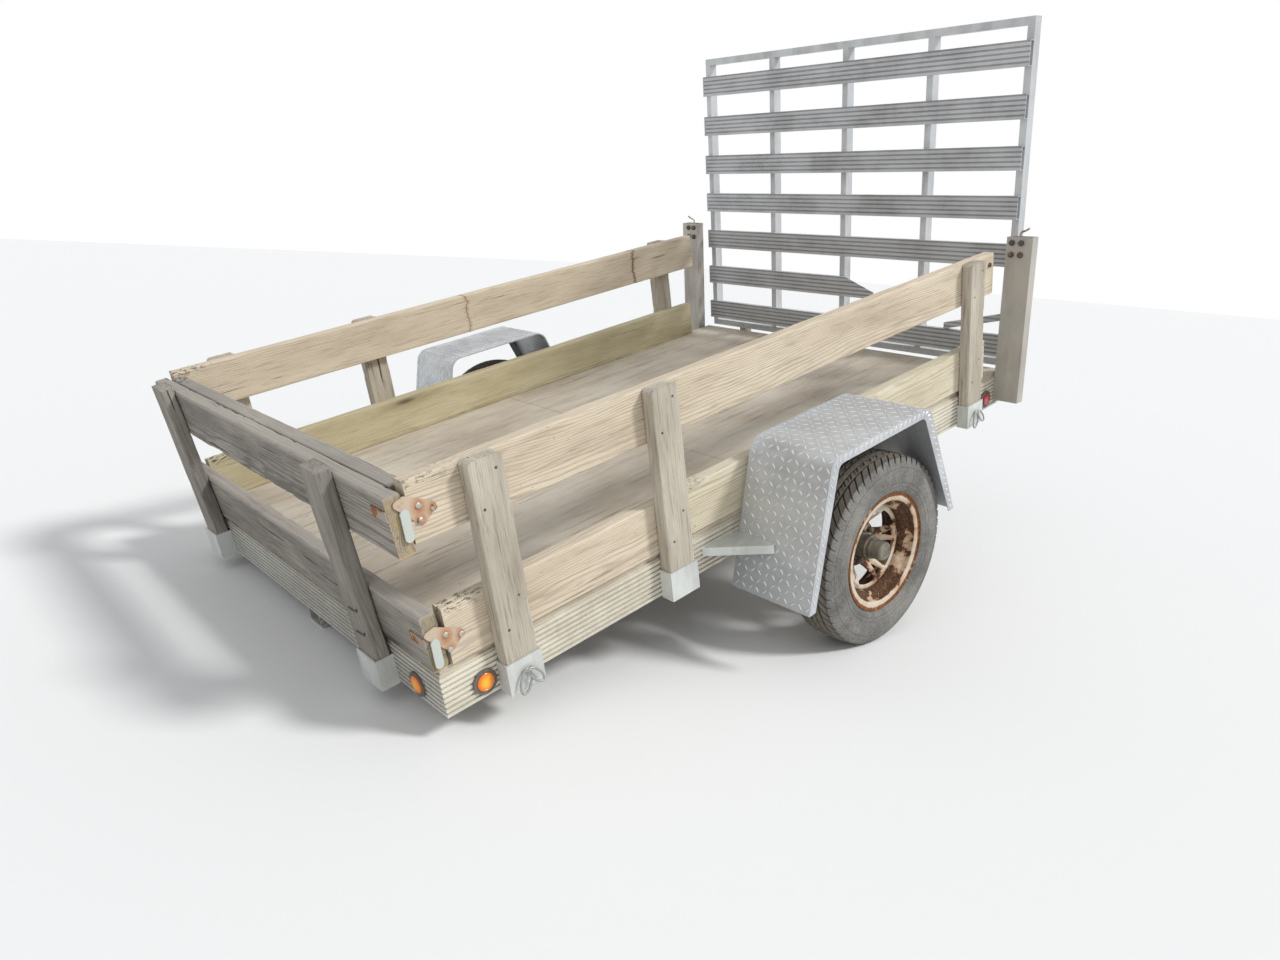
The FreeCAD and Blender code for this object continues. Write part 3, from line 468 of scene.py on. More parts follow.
# %% [markdown]
# ## Bare aluminium
# Old bare aluminium is not a mirror. A chalky oxide covers it, so it is pale, rough and only half
# metallic, with finer lines along the extrusion and dirt that the rain has washed down.

# %% Aluminium
FACE_SKIN = 0.0045
SIDE_GROOVES = (-0.1062, 0.106, 0.01325, 0, 0, HALF_WIDTH - FACE_SKIN)
END_GROOVES = (-0.1062, 0.106, 0.01325, 1, FRAME_LENGTH / 2, FRAME_LENGTH / 2 - FACE_SKIN)
SLAT_GROOVES = (0.0658, 0.163, 0.0158, 1, slat_crest + 1, 0.9972)
RIB_SHARE = 0.62
TAN_DIRT = (0.56, 0.49, 0.36)
# The slats' groove tone is silt, darkened further as painted shade in the grooves.
GREY_SILT_AND_SHADE = (0.16, 0.155, 0.15)


def aluminium(name, place, order, dirt, pale, metallic=0.45, grooves=None, silt_and_shade=TAN_DIRT):
    """Extruded or folded sheet whose fine lines run along the first axis of order.

    Grooves give the height of the first rib, the pitch of the ribbed faces and the pitch of the ribs:
    what is left of each pitch past the rib is a groove, darkened by a groove tone: tan silt on the
    rails, and on the slats a dark grey that is silt and painted shade. Then come an axis, a centre
    and a reach, because only what lies past that reach is the ribbed face.
    """
    finish = Finish(name, metallic=metallic)
    axes = finish.local(place)
    run = [axes[i] for i in order]
    lines = finish.stretched(run, (3, 260, 260), 3, 0.6)
    cloud = finish.stretched(run, (5, 9, 9), 6, 0.62)
    drip = finish.stretched(axes, (34, 34, 3.5), 4, 0.6)
    grime = (cloud * 0.6 + drip * 0.4).step(0.44, 0.64)
    spots = finish.noise(finish.vector(*axes), 60, 4, 0.7).step(0.62, 0.7)
    tone = finish.coats(
        finish.mix(cloud.step(0.3, 0.7), pale, tuple(0.8 * c for c in pale)),
        ((lines - 0.5).abs() * 0.4, (0.3, 0.29, 0.27)),
        (grime * dirt, (0.27, 0.235, 0.18)),
        (spots * dirt * 0.8, (0.16, 0.125, 0.085)),
    )
    if grooves:
        first, face_pitch, rib_pitch, out_axis, centre, reach = grooves
        across_face = (axes[2] - first).wave(face_pitch) * face_pitch
        groove = across_face.wave(rib_pitch).step(RIB_SHARE - 0.03, RIB_SHARE + 0.03)
        groove = groove * (axes[out_axis] - centre).abs().step(reach - 0.0003, reach + 0.0003)
        # Grooves take the groove tone: silt on the rails, silt and painted shade on the slats.
        tone = finish.mix(groove * (0.35 + 0.5 * cloud), tone, silt_and_shade)
    rough = 0.42 + grime * 0.2 + (cloud - 0.5) * 0.15
    height = (lines - 0.5) * 0.4 + cloud * 0.3 - spots * 0.2
    return finish.done((height, 0.25, 0.0006), base_color=tone, roughness=rough)


EXTRUDED_Y = aluminium("ribbed_rail", LEVEL, ALONG_Y, 0.22, (0.78, 0.745, 0.635), 0.2, SIDE_GROOVES)
# The end rails' alloy is the side rails' painted darker and greyer: painted shade on the front and rear
# rails.
EXTRUDED_X_PAINTED_SHADE = aluminium("ribbed_end_rail_painted_shade", LEVEL, ALONG_X, 0.25, (0.58, 0.58, 0.55), 0.3, END_GROOVES)
SLATTED = aluminium("ribbed_slat", GATE, ALONG_X, 0.08, (0.54, 0.55, 0.565), 0.4, SLAT_GROOVES, GREY_SILT_AND_SHADE)
PLAIN_BAR = aluminium("plain_bar", LEVEL, ALONG_X, 0.4, (0.55, 0.54, 0.51))
GATE_TUBE = aluminium("gate_tube", GATE, FLAT_UPRIGHT, 0.12, (0.6, 0.615, 0.63))
POST_TUBE = aluminium("post_tube", POSTS, FLAT_UPRIGHT, 0.2, (0.51, 0.48, 0.43), 0.3)
FOLDED = aluminium("folded_sheet", LEVEL, ALONG_Z, 0.18, (0.73, 0.75, 0.72), 0.3)
TREAD_PLATE = aluminium("tread_plate", LEVEL, (0, 1, 2), 0.16, (0.62, 0.64, 0.66), 0.55)
dress(EXTRUDED_Y, "rail_left", "rail_right")
dress(EXTRUDED_X_PAINTED_SHADE, "rail_front", "rail_rear")
dress(PLAIN_BAR, "drawbar_stub", "crossmembers")
dress(SLATTED, "gate_slats", "gate_slat_bent")
dress(GATE_TUBE, "gate_frame")
dress(POST_TUBE, "post_left", "post_right")
dress(FOLDED, "pockets_left", "pockets_right", "pockets_front")
print("aluminium dressed")

# %% [markdown]
# ## Steel, rust, rubber and lenses
# Rust is a threshold on noise: where the noise is high the zinc or the paint has gone. The same noise,
# a little lower, gives the stain around the spot, and a finer one breaks up its colour.

# %% Small finishes
RUST_DARK = (0.085, 0.028, 0.01)
RUST_MID = (0.26, 0.095, 0.028)
RUST_BRIGHT = (0.48, 0.2, 0.055)
LATCH_BOLTS = ((0.042, 0.396), (0.073, 0.38), (0.039, 0.364), (0.037, 0.093), (0.073, 0.077), (0.041, 0.055))
TAB_FACE = 0.7533
SIDE_RIDGES = (0.2485, 0.2055, 0.1935)
TREAD_RADIUS = 0.279
BLACK = (0.03, 0.03, 0.029)
SIDE_DUST = (0.33, 0.315, 0.285)


def rusty(name, place, base, amount, metallic=0.5, scale=16):
    """A coat of one colour with rust coming through it: amount is the share that is rusty."""
    finish = Finish(name)
    point = finish.point(place)
    field = finish.noise(point, scale, 6, 0.65)
    fine = finish.noise(point, scale * 9, 4, 0.7)
    cloud = finish.noise(point, scale * 0.4, 4, 0.6)
    edge = 0.72 - 0.42 * amount
    eaten = field.step(edge, edge + 0.05)
    tone = finish.coats(
        base,
        (cloud * 0.5, tuple(0.7 * c for c in base)),
        (field.step(edge - 0.14, edge + 0.02) * 0.6, (0.45, 0.24, 0.1)),
        (eaten, finish.ramp(fine, (0.3, RUST_DARK), (0.52, RUST_MID), (0.72, RUST_BRIGHT))),
    )
    height = fine * 0.5 * eaten + (1 - eaten) * 0.6
    return finish.done((height, 0.6, 0.0008), base_color=tone, roughness=0.5 + eaten * 0.35,
                       metallic=(1 - eaten) * metallic)


def lens(name, colour, deep):
    """Glossy lens: a painted highlight makes it brighter in the middle, by the share that its mesh carries,
    with a thin road film.
    """
    finish = Finish(name, roughness=0.14)
    film = finish.noise(finish.point(LEVEL), 90, 4, 0.65).step(0.45, 0.75)
    tone = finish.coats(deep, (finish.share().step(0, 0.75), colour), (film * 0.25, deep))
    return finish.done(base_color=tone, coat_weight=0.5 - film * 0.2)


def rubber(name, place, base, dust, amount, crown=0):
    """Black rubber with road dust: a tyre's crown turns tan and its grooves stay clean.

    Crown is the tread's radius, and thin ridges run round the tyre's sidewall.
    """
    finish = Finish(name)
    x, y, z = finish.local(place)
    point = finish.vector(x, y, z)
    cloud = finish.noise(point, 7, 6, 0.65)
    fine = finish.noise(point, 160, 3, 0.7)
    dusty = 0.3 + 0.7 * (cloud * 0.6 + fine * 0.4).step(0.36, 0.66)
    tone = finish.mix(dusty * amount, base, dust)
    height = fine * 0.5
    if crown:
        radius = (y * y + z * z).root()
        tread = x.abs().step(0.0585, 0.0555) * radius.step(0.255, 0.259)
        worn = radius.step(crown - 0.0025, crown - 0.001)
        blocks = finish.mix(fine * 0.5 + worn * 0.35, (0.03, 0.028, 0.026), (0.27, 0.235, 0.185))
        for ridge in SIDE_RIDGES:
            line = (radius - ridge).abs().step(0.0018, 0.0004)
            tone = finish.mix(line * 0.45, tone, base)
            height = height + line
        tone = finish.mix(tread, tone, blocks)
    return finish.done((height, 0.4, 0.0006), base_color=tone, roughness=0.68 + dusty * 0.2)


def latch_finish():
    """Zinc plates stained round each bolt and below it, with the tabs that stand off them still clean."""
    finish = Finish("latch_zinc")
    x, y, z = finish.local(LEVEL)
    point = finish.vector(x, y, z)
    fine = finish.noise(point, 260, 4, 0.7)
    stain = finish.noise(point, 34, 5, 0.65).step(0.46, 0.66) * 0.6
    for bolt_y, bolt_z in LATCH_BOLTS:
        aside, below = y - bolt_y, (z - bolt_z) * 0.7 + 0.003
        stain = stain.most((aside * aside + below * below).root().step(0.026, 0.003) * 0.85)
    tab = x.abs().step(TAB_FACE - 0.0002, TAB_FACE + 0.0002)
    stain = stain * (1 - tab * 0.92) * (0.55 + 0.9 * fine)
    zinc = finish.mix(tab, (0.6, 0.47, 0.34), (0.58, 0.64, 0.59))
    stops = (0.32, (0.25, 0.085, 0.025)), (0.55, (0.5, 0.21, 0.08)), (0.75, (0.62, 0.36, 0.18))
    rust = finish.ramp(fine, *stops)
    tone = finish.coats(zinc, (fine * 0.4, (0.46, 0.42, 0.36)), (stain.least(1), rust))
    return finish.done((fine, 0.3, 0.0004), base_color=tone, roughness=0.42 + stain * 0.4, metallic=0.25)


def rim_coat(name, place):
    """Old cream paint on steel, told apart by radius.

    The lip is rusty, the bead seat flakes, the well is eaten and the disc is stained.
    """
    finish = Finish(name, metallic=0.1)
    x, y, z = finish.local(place)
    point = finish.vector(x, y, z)
    radius = (y * y + z * z).root()
    field = finish.noise(point, 13, 6, 0.68)
    fine = finish.noise(point, 120, 4, 0.7)
    lip = radius.step(0.163, 0.168)
    seat = radius.step(0.1495, 0.1525) * (1 - lip)
    well = radius.step(0.1265, 0.1285) * (1 - seat) * (1 - lip)
    pad = radius.step(0.078, 0.06)
    loss = field + lip * 0.2 + well * 0.15 + pad * 0.1 - seat * 0.02
    eaten = loss.step(0.585, 0.625)
    old_stops = ((0.3, (0.028, 0.014, 0.008)), (0.5, (0.085, 0.038, 0.018)), (0.72, (0.22, 0.095, 0.04)))
    new_stops = ((0.3, RUST_DARK), (0.52, RUST_MID), (0.74, (0.4, 0.19, 0.08)))
    rust = finish.mix(lip * 0.7, finish.ramp(fine, *old_stops), finish.ramp(fine, *new_stops))
    cream = finish.mix(fine * 0.6, (0.66, 0.58, 0.46), (0.5, 0.43, 0.33))
    tone = finish.coats(cream, (loss.step(0.42, 0.6) * 0.75, (0.44, 0.24, 0.11)), (eaten, rust))
    height = fine * 0.5 * eaten + (1 - eaten) * 0.7
    return finish.done((height, 0.7, 0.0009), base_color=tone, roughness=0.55 + eaten * 0.35)


def hub_grease(name, place):
    """Steel under old grease and dust, with rust in specks."""
    finish = Finish(name)
    point = finish.point(place)
    fine = finish.noise(point, 90, 5, 0.7)
    cloud = finish.noise(point, 22, 5, 0.65)
    tone = finish.mix(cloud.step(0.35, 0.65), (0.075, 0.07, 0.058), (0.235, 0.215, 0.17))
    tone = finish.mix(fine.step(0.56, 0.7) * 0.8, tone, (0.17, 0.085, 0.04))
    return finish.done((fine, 0.4, 0.0005), base_color=tone, roughness=0.45 + fine * 0.35, metallic=0.25)


dress(latch_finish(), "latches_left", "latches_right")
dress(rusty("hook_steel", LEVEL, (0.36, 0.36, 0.35), 0.52, 0.4, 24), "latch_hooks")
dress(rusty("zinc_hinges", GATE, (0.42, 0.41, 0.39), 0.3), "gate_hinges", "gate_hinge_straps")
dress(rusty("axle_steel", LEVEL, (0.1, 0.09, 0.08), 0.5, 0.2), "axle_tube", "torsion_arms")
dress(rubber("grommet_rubber", LEVEL, (0.07, 0.058, 0.045), (0.25, 0.235, 0.205), 0.45), "lamp_grommets")
# Each lens: its bright middle colour is a painted highlight over its deep rim colour.
AMBER = lens("amber_lens", (1, 0.47, 0.01), (0.8, 0.17, 0.002))
RED = lens("red_lens", (0.62, 0.012, 0.012), (0.22, 0, 0))
TYRE_RUBBER, RIM_COAT, HUB_STEEL = {}, {}, {}
for side, place in WHEELS.items():
    TYRE_RUBBER[side] = rubber(f"tyre_rubber_{side}", place, BLACK, SIDE_DUST, 0.8, TREAD_RADIUS)
    RIM_COAT[side] = rim_coat(f"rim_paint_{side}", place)
    HUB_STEEL[side] = hub_grease(f"hub_grease_{side}", place)
print("small finishes dressed")

# %% [markdown]
# ## Building pieces as grids
# Most added pieces are one sheet of points with a row and a column number, bent into shape by a
# formula. The helper below joins neighbouring points into quads and can close the sheet on itself in
# either direction, so a ring needs no seam.

# %% Grid helper
def grid_faces(rows, columns, wrap_rows=True, wrap_columns=True):
    """Corner numbers of the quads between neighbouring points of a rows by columns sheet."""
    row = np.arange(rows if wrap_rows else rows - 1)
    column = np.arange(columns if wrap_columns else columns - 1)
    row, column = np.meshgrid(row, column, indexing="ij")
    next_row = (row + 1) % rows
    next_column = (column + 1) % columns
    corners = (row * columns + column, row * columns + next_column,
               next_row * columns + next_column, next_row * columns + column)
    return np.stack(corners, -1).reshape(-1, 4)


def mesh_piece(name, points, faces, material, body="trailer", smooth=35, share=None):
    """Object at the origin from rows of points and corner numbers, shaded smooth up to an angle.

    Share is a number for every point that a finish can read, such as how near a lens's middle it is.
    """
    data = bpy.data.meshes.new(name)
    data.from_pydata(points.reshape(-1, 3).tolist(), [], faces.tolist())
    if share is not None:
        data.attributes.new("share", "FLOAT", "POINT").data.foreach_set("value", share)
    data.materials.append(material)
    data.validate()
    shape = bmesh.new()
    shape.from_mesh(data)
    bmesh.ops.remove_doubles(shape, verts=shape.verts, dist=1e-6)
    bmesh.ops.recalc_face_normals(shape, faces=shape.faces)
    shape.to_mesh(data)
    shape.free()
    data.shade_smooth()
    data.set_sharp_from_angle(angle=math.radians(smooth))
    piece = add_object(name, data)
    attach(piece, body)
    return piece


def add_parts(name, place, parts, material, body="trailer", smooth=35, share=None):
    """One piece from (points, faces) sheets drawn in a place's own frame.

    Each sheet's corner numbers move past the points of the sheets before it.
    """
    sheets = [points.reshape(-1, 3) for points, faces in parts]
    first = np.cumsum([0] + [len(sheet) for sheet in sheets])
    faces = np.concatenate([faces + start for (points, faces), start in zip(parts, first)])
    return mesh_piece(name, place.out(np.concatenate(sheets)), faces, material, body, smooth, share)


def mirrored(half):
    """A section from one side to the middle, and on to the other side as its mirror."""
    half = np.array(half)
    return np.concatenate([half, half[-2::-1] * (-1, 1)])


print("grid helpers ready")

# %% [markdown]
# ## Tyres
# A tyre is a section swept once round its axle, from one bead over the tread to the other. Four grooves
# run round the tread and slanted ones cross its shoulders. The sheet's own columns lie along the slanted
# grooves' edges, so they stay crisp with few points. A repeated block with modifiers would do as well,
# but a formula keeps blocks, groove floors and sidewalls in one closed surface.

# %% Tyres
TYRE_SECTION = (
    # across from the middle, radius: bead, flange seat, sidewall, shoulder
    (54.4, 152.2), (55, 158), (55.2, 170), (58, 175.5), (63.5, 182), (67.6, 191),
    (70, 203), (71, 216), (70.7, 229), (69.2, 241), (68.9, 243), (67.9, 247), (67.6, 249),
    (65.6, 257), (62.8, 265), (59.6, 271.5), (57, 275), (54, 277.2),
)
TREAD_ACROSS = (50, 44, 38, 33.5, 32.5, 27.5, 26.5, 20, 13.5, 12.5, 7.5, 6.5, 0)
CROWN_RADIUS, CROWN_DROP = 281, 3.4
GROOVES = ((27.5, 32.5), (7.5, 12.5))
ROUND_DEPTH, CROSS_DEPTH, SIPE_DEPTH = 7, 6.5, 2.5
SHOULDER = 33
SHOULDER_LOW, SHOULDER_FADE = 262, 6
INNER_RIB, INNER_DEPTH = (12.6, 26.4), 0.55
CROSS_WITHIN, SIPE_WITHIN = (0.02, 0.21), 0.61
SLANT, ZIGZAG = 0.9, 1.3
PITCHES = 58
WITHIN = np.array((0, 0.03, 0.2, 0.23, 0.42, 0.61, 0.8))


def tyre_sheet(sign):
    """Section points in millimetres swept round X; groove floors lie lower, and columns slant."""
    tread = [(x, CROWN_RADIUS - CROWN_DROP * (x / 50) ** 2.2) for x in TREAD_ACROSS]
    across, radius = mirrored(list(TYRE_SECTION) + tread).T
    inward = np.abs(across)
    round_floor = np.zeros(len(across))
    for near, far in GROOVES:
        round_floor[(inward > near - 0.1) & (inward < far + 0.1)] = ROUND_DEPTH
    crosses = np.clip((radius - SHOULDER_LOW) / SHOULDER_FADE, 0, 1) * (inward > SHOULDER)
    crosses = np.maximum(crosses, INNER_DEPTH * ((inward > INNER_RIB[0]) & (inward < INNER_RIB[1])))
    in_groove = np.tile((WITHIN > CROSS_WITHIN[0]) & (WITHIN < CROSS_WITHIN[1]), PITCHES)[:, None]
    in_sipe = np.tile(np.abs(WITHIN - SIPE_WITHIN) < 0.01, PITCHES)[:, None]
    zigzag = np.tile(np.abs((WITHIN * 2) % 1 - 0.5) * 4 - 1, PITCHES)[:, None]
    turn_at = (np.arange(PITCHES)[:, None] + WITHIN).reshape(-1, 1) / PITCHES
    depth = np.maximum(round_floor, CROSS_DEPTH * crosses * in_groove)
    depth = np.maximum(depth, SIPE_DEPTH * (inward < 26) * (round_floor == 0) * in_sipe)
    slant = np.where(inward > SHOULDER, (inward - SHOULDER) / 24, (inward - 20) / 26) * (radius > 255)
    angle = 2 * np.pi * (turn_at + SLANT * slant * np.sign(across) / PITCHES)
    shift = ZIGZAG * zigzag * ((inward > 5) & (inward < 35) & (radius > 270))
    height = (radius - depth) * 0.001
    x = (across + shift) * 0.001 * sign
    return np.stack([x, height * np.cos(angle), height * np.sin(angle)], -1)


for side, sign in SIDES:
    points = WHEELS[side].out(tyre_sheet(sign))
    faces = grid_faces(*points.shape[:2])
    piece = mesh_piece(f"treaded_tyre_{side}", points, faces, TYRE_RUBBER[side], f"wheel_{side}", 38)
    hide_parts(f"tyre_{side}")
    print(piece.name, len(piece.data.polygons), "quads")

# %% [markdown]
# ## Steel rims
# The barrel is a rolled sheet: a curled flange, the seat for the tyre's bead, and a well that lets the
# tyre be fitted. The pressed disc in it is dished: five spokes rise from the pad at the hub to a ring in
# the well, each with a triangular hole. Each spoke is a closed ring of cross-sections that runs once
# round its hole, so its edges stay round without any cutting.

# %% Rims
RIM_SECTION = (
    # across from the middle, radius: curled flange, bead seat, well
    (61, 173.4), (59.8, 175), (57.8, 174.4), (57, 170), (56.6, 160), (55.4, 153.4), (52, 150.4),
    (45, 149.8), (39, 147.6), (34, 142), (29, 134.5), (23, 130.6), (14, 129.8), (0, 129.6),
)
DISC_PAD = ((-32, 40.5), (-29, 42), (-27.6, 46), (-27.6, 56), (-29.5, 62), (-32, 66))
DISC_RING = ((-4, 127.6), (6, 127.4), (10.8, 125.6), (12.6, 121.5), (12, 117), (10, 113))
SPOKE_OUTLINE = ((50, -28), (50, 28), (74, 22), (100, 24), (120, 42), (120, -42), (100, -24), (74, -22))
SPOKE_HOLE = ((77, 0), (104, 12), (104, -12))
SPOKE_SHARES = np.array([0, 0.12, 0.35, 0.65, 0.88, 1, 1, 0.88, 0.65, 0.35, 0.12, 0])
SPOKES = 5
SPOKE_POINTS = 72
HOLE_MIDDLE = 95
DISH_START, DISH_RUN = 54, 58
DISH_LOW, DISH_RISE = -30, 41.5
SPOKE_CROWN, SPOKE_HALF_WALL = 3.5, 1.8
FIRST_SPOKE = math.radians(20)


def turned(loop, count):
    """A closed loop of (across, radius) in millimetres, swept once round X."""
    loop = np.array(loop) * 0.001
    angle = 2 * np.pi * np.arange(count)[:, None] / count
    x = np.broadcast_to(loop[:, 0], (count, len(loop)))
    points = np.stack([x, loop[:, 1] * np.cos(angle), loop[:, 1] * np.sin(angle)], -1)
    return points, grid_faces(count, len(loop))


def sheet_section(line, wall):
    """Closed loop round an open section: the section moved along its normals by half its wall each way."""
    line = np.array(line)
    normal = unit(np.gradient(line, axis=0)[:, ::-1] * (-1, 1))
    return np.concatenate([line + wall / 2 * normal, (line - wall / 2 * normal)[::-1]])


def rounded_loop(corners, soften):
    """Closed loop through corners, evenly spaced, its corners averaged round, sorted about the hole."""
    corners = np.array(corners + corners[:1], float)
    lengths = line_lengths(corners)
    loop = line_points(np.linspace(0, lengths[-1], SPOKE_POINTS, endpoint=False), lengths, corners)
    for _ in range(soften):
        loop = (np.roll(loop, 1, 0) + 2 * loop + np.roll(loop, -1, 0)) / 4
    return loop[np.argsort(np.arctan2(loop[:, 1], loop[:, 0] - HOLE_MIDDLE))]


def spoke_sheet(number):
    """Ring of cross-sections between a spoke's outline and its hole, on the disc's dish."""
    outline = rounded_loop(SPOKE_OUTLINE, 2)
    hole = rounded_loop(SPOKE_HOLE, 5)
    share = SPOKE_SHARES[:, None]
    flat = hole[:, None] * (1 - share) + outline[:, None] * share
    rise = np.clip((flat[..., 0] - DISH_START) / DISH_RUN, 0, 1)
    dish = DISH_LOW + DISH_RISE * rise * rise * (3 - 2 * rise)
    wall = np.repeat((SPOKE_HALF_WALL, -SPOKE_HALF_WALL), 6)
    dish = dish + SPOKE_CROWN * np.sin(np.pi * SPOKE_SHARES) + wall
    angle = 2 * np.pi * number / SPOKES + FIRST_SPOKE
    up = flat[..., 0] * math.sin(angle) + flat[..., 1] * math.cos(angle)
    along = -flat[..., 0] * math.cos(angle) + flat[..., 1] * math.sin(angle)
    return np.stack([dish, along, up], -1) * 0.001, grid_faces(SPOKE_POINTS, 12)


def add_wheel_piece(name, side, sign, parts, material, node, smooth):
    """Sheets drawn for the left wheel as one piece at a wheel, mirrored for the right one."""
    parts = [(points * (sign, 1, 1), faces) for points, faces in parts]
    piece = add_parts(f"{name}_{side}", WHEELS[side], parts, material, f"wheel_{side}", smooth)
    if node:
        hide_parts(f"{node}_{side}")
    print(piece.name, len(piece.data.polygons), "faces")


for side, sign in SIDES:
    parts = [
        turned(sheet_section(mirrored(RIM_SECTION), 3), 168),
        turned(sheet_section(DISC_PAD, 5), 96),
        turned(sheet_section(DISC_RING, 4), 132),
    ]
    parts += [spoke_sheet(number) for number in range(SPOKES)]
    add_wheel_piece("spoked_rim", side, sign, parts, RIM_COAT[side], "rim", 50)

# %% [markdown]
# ## Hubs and lug nuts
# The hub is one turned piece: flange, nose and a long grease cap with a rolled bead. Its bore stays open
# for the spindle. Bolt heads and nuts all come from one function that turns a small outline about any
# axis: six sides give a nut, and more give a round head.

# %% Hubs and lug nuts
HUB_SECTION = (
    (-136, 16.1), (-136, 37), (-135, 38), (-47, 38), (-46, 61), (-45, 62), (-37, 62), (-36.2, 61),
    (-36, 39), (-34, 37), (-12, 36), (-9, 34.5), (4, 34.5), (7, 36), (10, 35.6), (11, 31), (13, 30),
    (16, 30), (18, 31.4), (22, 31.4), (24, 30), (27, 29), (51, 28.4), (56, 27), (58.6, 24), (59, 20),
    (57.6, 18.5), (57.6, 0), (0, 0), (0, 16.1),
)
NUT = ((0, 0), (1, 0), (1, 0.62), (0.86, 0.8), (0.55, 0.84), (0.5, 1), (0, 1))
DOME = ((0, 0), (1, 0), (0.97, 0.35), (0.8, 0.75), (0.45, 0.96), (0, 1))
PAD_FACE = -0.0256
NUT_CIRCLE = 0.0495


def stud(centre, axis, outline, radius, height, sides):
    """Outline of (radius share, height share) turned about an axis from a centre on the surface."""
    axis = Vector(axis).normalized()
    across = axis.orthogonal().normalized()
    base = np.array([across, axis.cross(across), axis])
    outline = np.array(outline)
    angle = 2 * np.pi * np.arange(sides)[:, None] / sides
    ring = radius * outline[:, 0]
    tall = np.broadcast_to(height * outline[:, 1], (sides, len(outline)))
    points = np.stack([ring * np.cos(angle), ring * np.sin(angle), tall], -1) @ base + centre
    return points, grid_faces(sides, len(outline), wrap_columns=False)


for side, sign in SIDES:
    add_wheel_piece("greased_hub", side, sign, [turned(HUB_SECTION, 96)], HUB_STEEL[side], "hub", 40)
    nuts = []
    for number in range(SPOKES):
        angle = 2 * math.pi * (number + 0.5) / SPOKES + FIRST_SPOKE
        centre = (PAD_FACE, -NUT_CIRCLE * math.cos(angle), NUT_CIRCLE * math.sin(angle))
        nuts.append(stud(centre, (1, 0, 0), NUT, 0.0095, 0.016, 6))
    add_wheel_piece("lug_nuts", side, sign, nuts, HUB_STEEL[side], None, 30)

# %% [markdown]
# ## Worn planks
# Years outdoors round a plank's edges unevenly, chip them, and raise the grain. So each plank is swept
# along its length as a rectangle whose four corner radii change from row to row, and its faces sink a
# little along the grain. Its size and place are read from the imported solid, so the worn plank stays
# inside it. The stakes' tops keep the saw cuts of the solids.

# %% Planks
LATTICE = 64
PLANK_STEP = 0.015
STAKE_CUT = 0.008
SPLIT_GAP = 0.2
EDGE_RADIUS, EDGE_ROUGH, CHIP_DEPTH = 0.0022, 0.0045, 0.011
GRAIN_DEPTH, END_DEPTH = 0.0028, 0.0022


def smooth_noise(at, seed, octaves=3):
    """Value noise from 0 to 1 along one coordinate or across two: random lattice, smooth between."""
    at = np.atleast_2d(np.asarray(at, float))
    lattice = np.random.default_rng(seed).random((LATTICE, LATTICE))
    total, weight = 0, 0
    for octave in range(octaves):
        u = at[0] * 2 ** octave + 7.3 * octave
        v = (at[1] if len(at) > 1 else np.zeros_like(at[0])) * 2 ** octave + 3.1 * octave
        i, j = np.floor(u).astype(int), np.floor(v).astype(int)
        s, t = u - i, v - j
        s, t = s * s * (3 - 2 * s), t * t * (3 - 2 * t)
        rows = [lattice[i % LATTICE, k % LATTICE] * (1 - s) + lattice[(i + 1) % LATTICE, k % LATTICE] * s
                for k in (j, j + 1)]
        total = total + (rows[0] * (1 - t) + rows[1] * t) / 2 ** octave
        weight += 1 / 2 ** octave
    return total / weight


def plank_loop(width, depth, along, wear, seed):
    """Rows of a rectangle's outline whose four corner radii follow noise along the length."""
    quarter = np.linspace(0, np.pi / 2, 5)
    corners = []
    for corner, (sx, sy) in enumerate(((1, 1), (-1, 1), (-1, -1), (1, -1))):
        rough = smooth_noise([along * 9], seed + corner)
        chip = np.clip(smooth_noise([along * 26], seed + 40 + corner) - 0.62, 0, 1) * 2.4
        radius = EDGE_RADIUS + wear * (EDGE_ROUGH * rough + CHIP_DEPTH * chip)[:, None]
        turn = quarter + corner * np.pi / 2
        x = sx * (width / 2 - radius) + radius * np.cos(turn)
        y = sy * (depth / 2 - radius) + radius * np.sin(turn)
        corners.append(np.stack([x, y], -1))
    loop = []
    for corner, count in enumerate((13, 6, 13, 6)):
        here, after = corners[corner], corners[(corner + 1) % 4]
        share = np.linspace(0, 1, count + 2)[None, 1:-1, None]
        loop += [here, here[:, -1:] * (1 - share) + after[:, :1] * share]
    return np.concatenate(loop, 1)


def worn_plank(size, wear, seed, top_cut):
    """Closed sheet of a plank along Z from 0, with sunken grain, rough ends and a sawn top."""
    width, depth, length = size
    along = np.linspace(0, length, max(24, int(length / PLANK_STEP)))
    loop = plank_loop(width, depth, along, wear, seed)
    count = np.arange(loop.shape[1])
    grain = smooth_noise(np.broadcast_arrays(along[:, None] * 3, count * 0.8), seed + 9)
    sunk = wear * GRAIN_DEPTH * np.clip(grain - 0.45, 0, 1)
    for axis, half in enumerate((width / 2, depth / 2)):
        flat = np.abs(loop[..., axis]) > half - 0.003
        loop[..., axis] -= np.sign(loop[..., axis]) * sunk * flat
    sheet = np.concatenate([loop, np.broadcast_to(along[:, None, None], grain.shape + (1,))], -1)
    shares = np.array([0, 0.45, 0.75, 0.93])[:, None]
    rough = smooth_noise(np.broadcast_arrays(count * 0.9, shares * 9), seed + 77)
    inward = wear * END_DEPTH * rough * (shares > 0)
    low, high = sheet[0] * np.ones((4, 1, 1)), sheet[-1] * np.ones((4, 1, 1))
    for end, deep in ((low, inward), (high, -inward)):
        end[..., :2] *= shares[..., None]
        end[..., 2] += deep
    sheet = np.concatenate([low, sheet, high[::-1]])
    if top_cut:
        drop = np.clip(np.abs(sheet[..., 0]) - (width / 2 - top_cut), 0, None)
        sheet[..., 2] -= drop * (sheet[..., 2] > length - 2 * top_cut)
    return sheet, grid_faces(*sheet.shape[:2], wrap_rows=False)


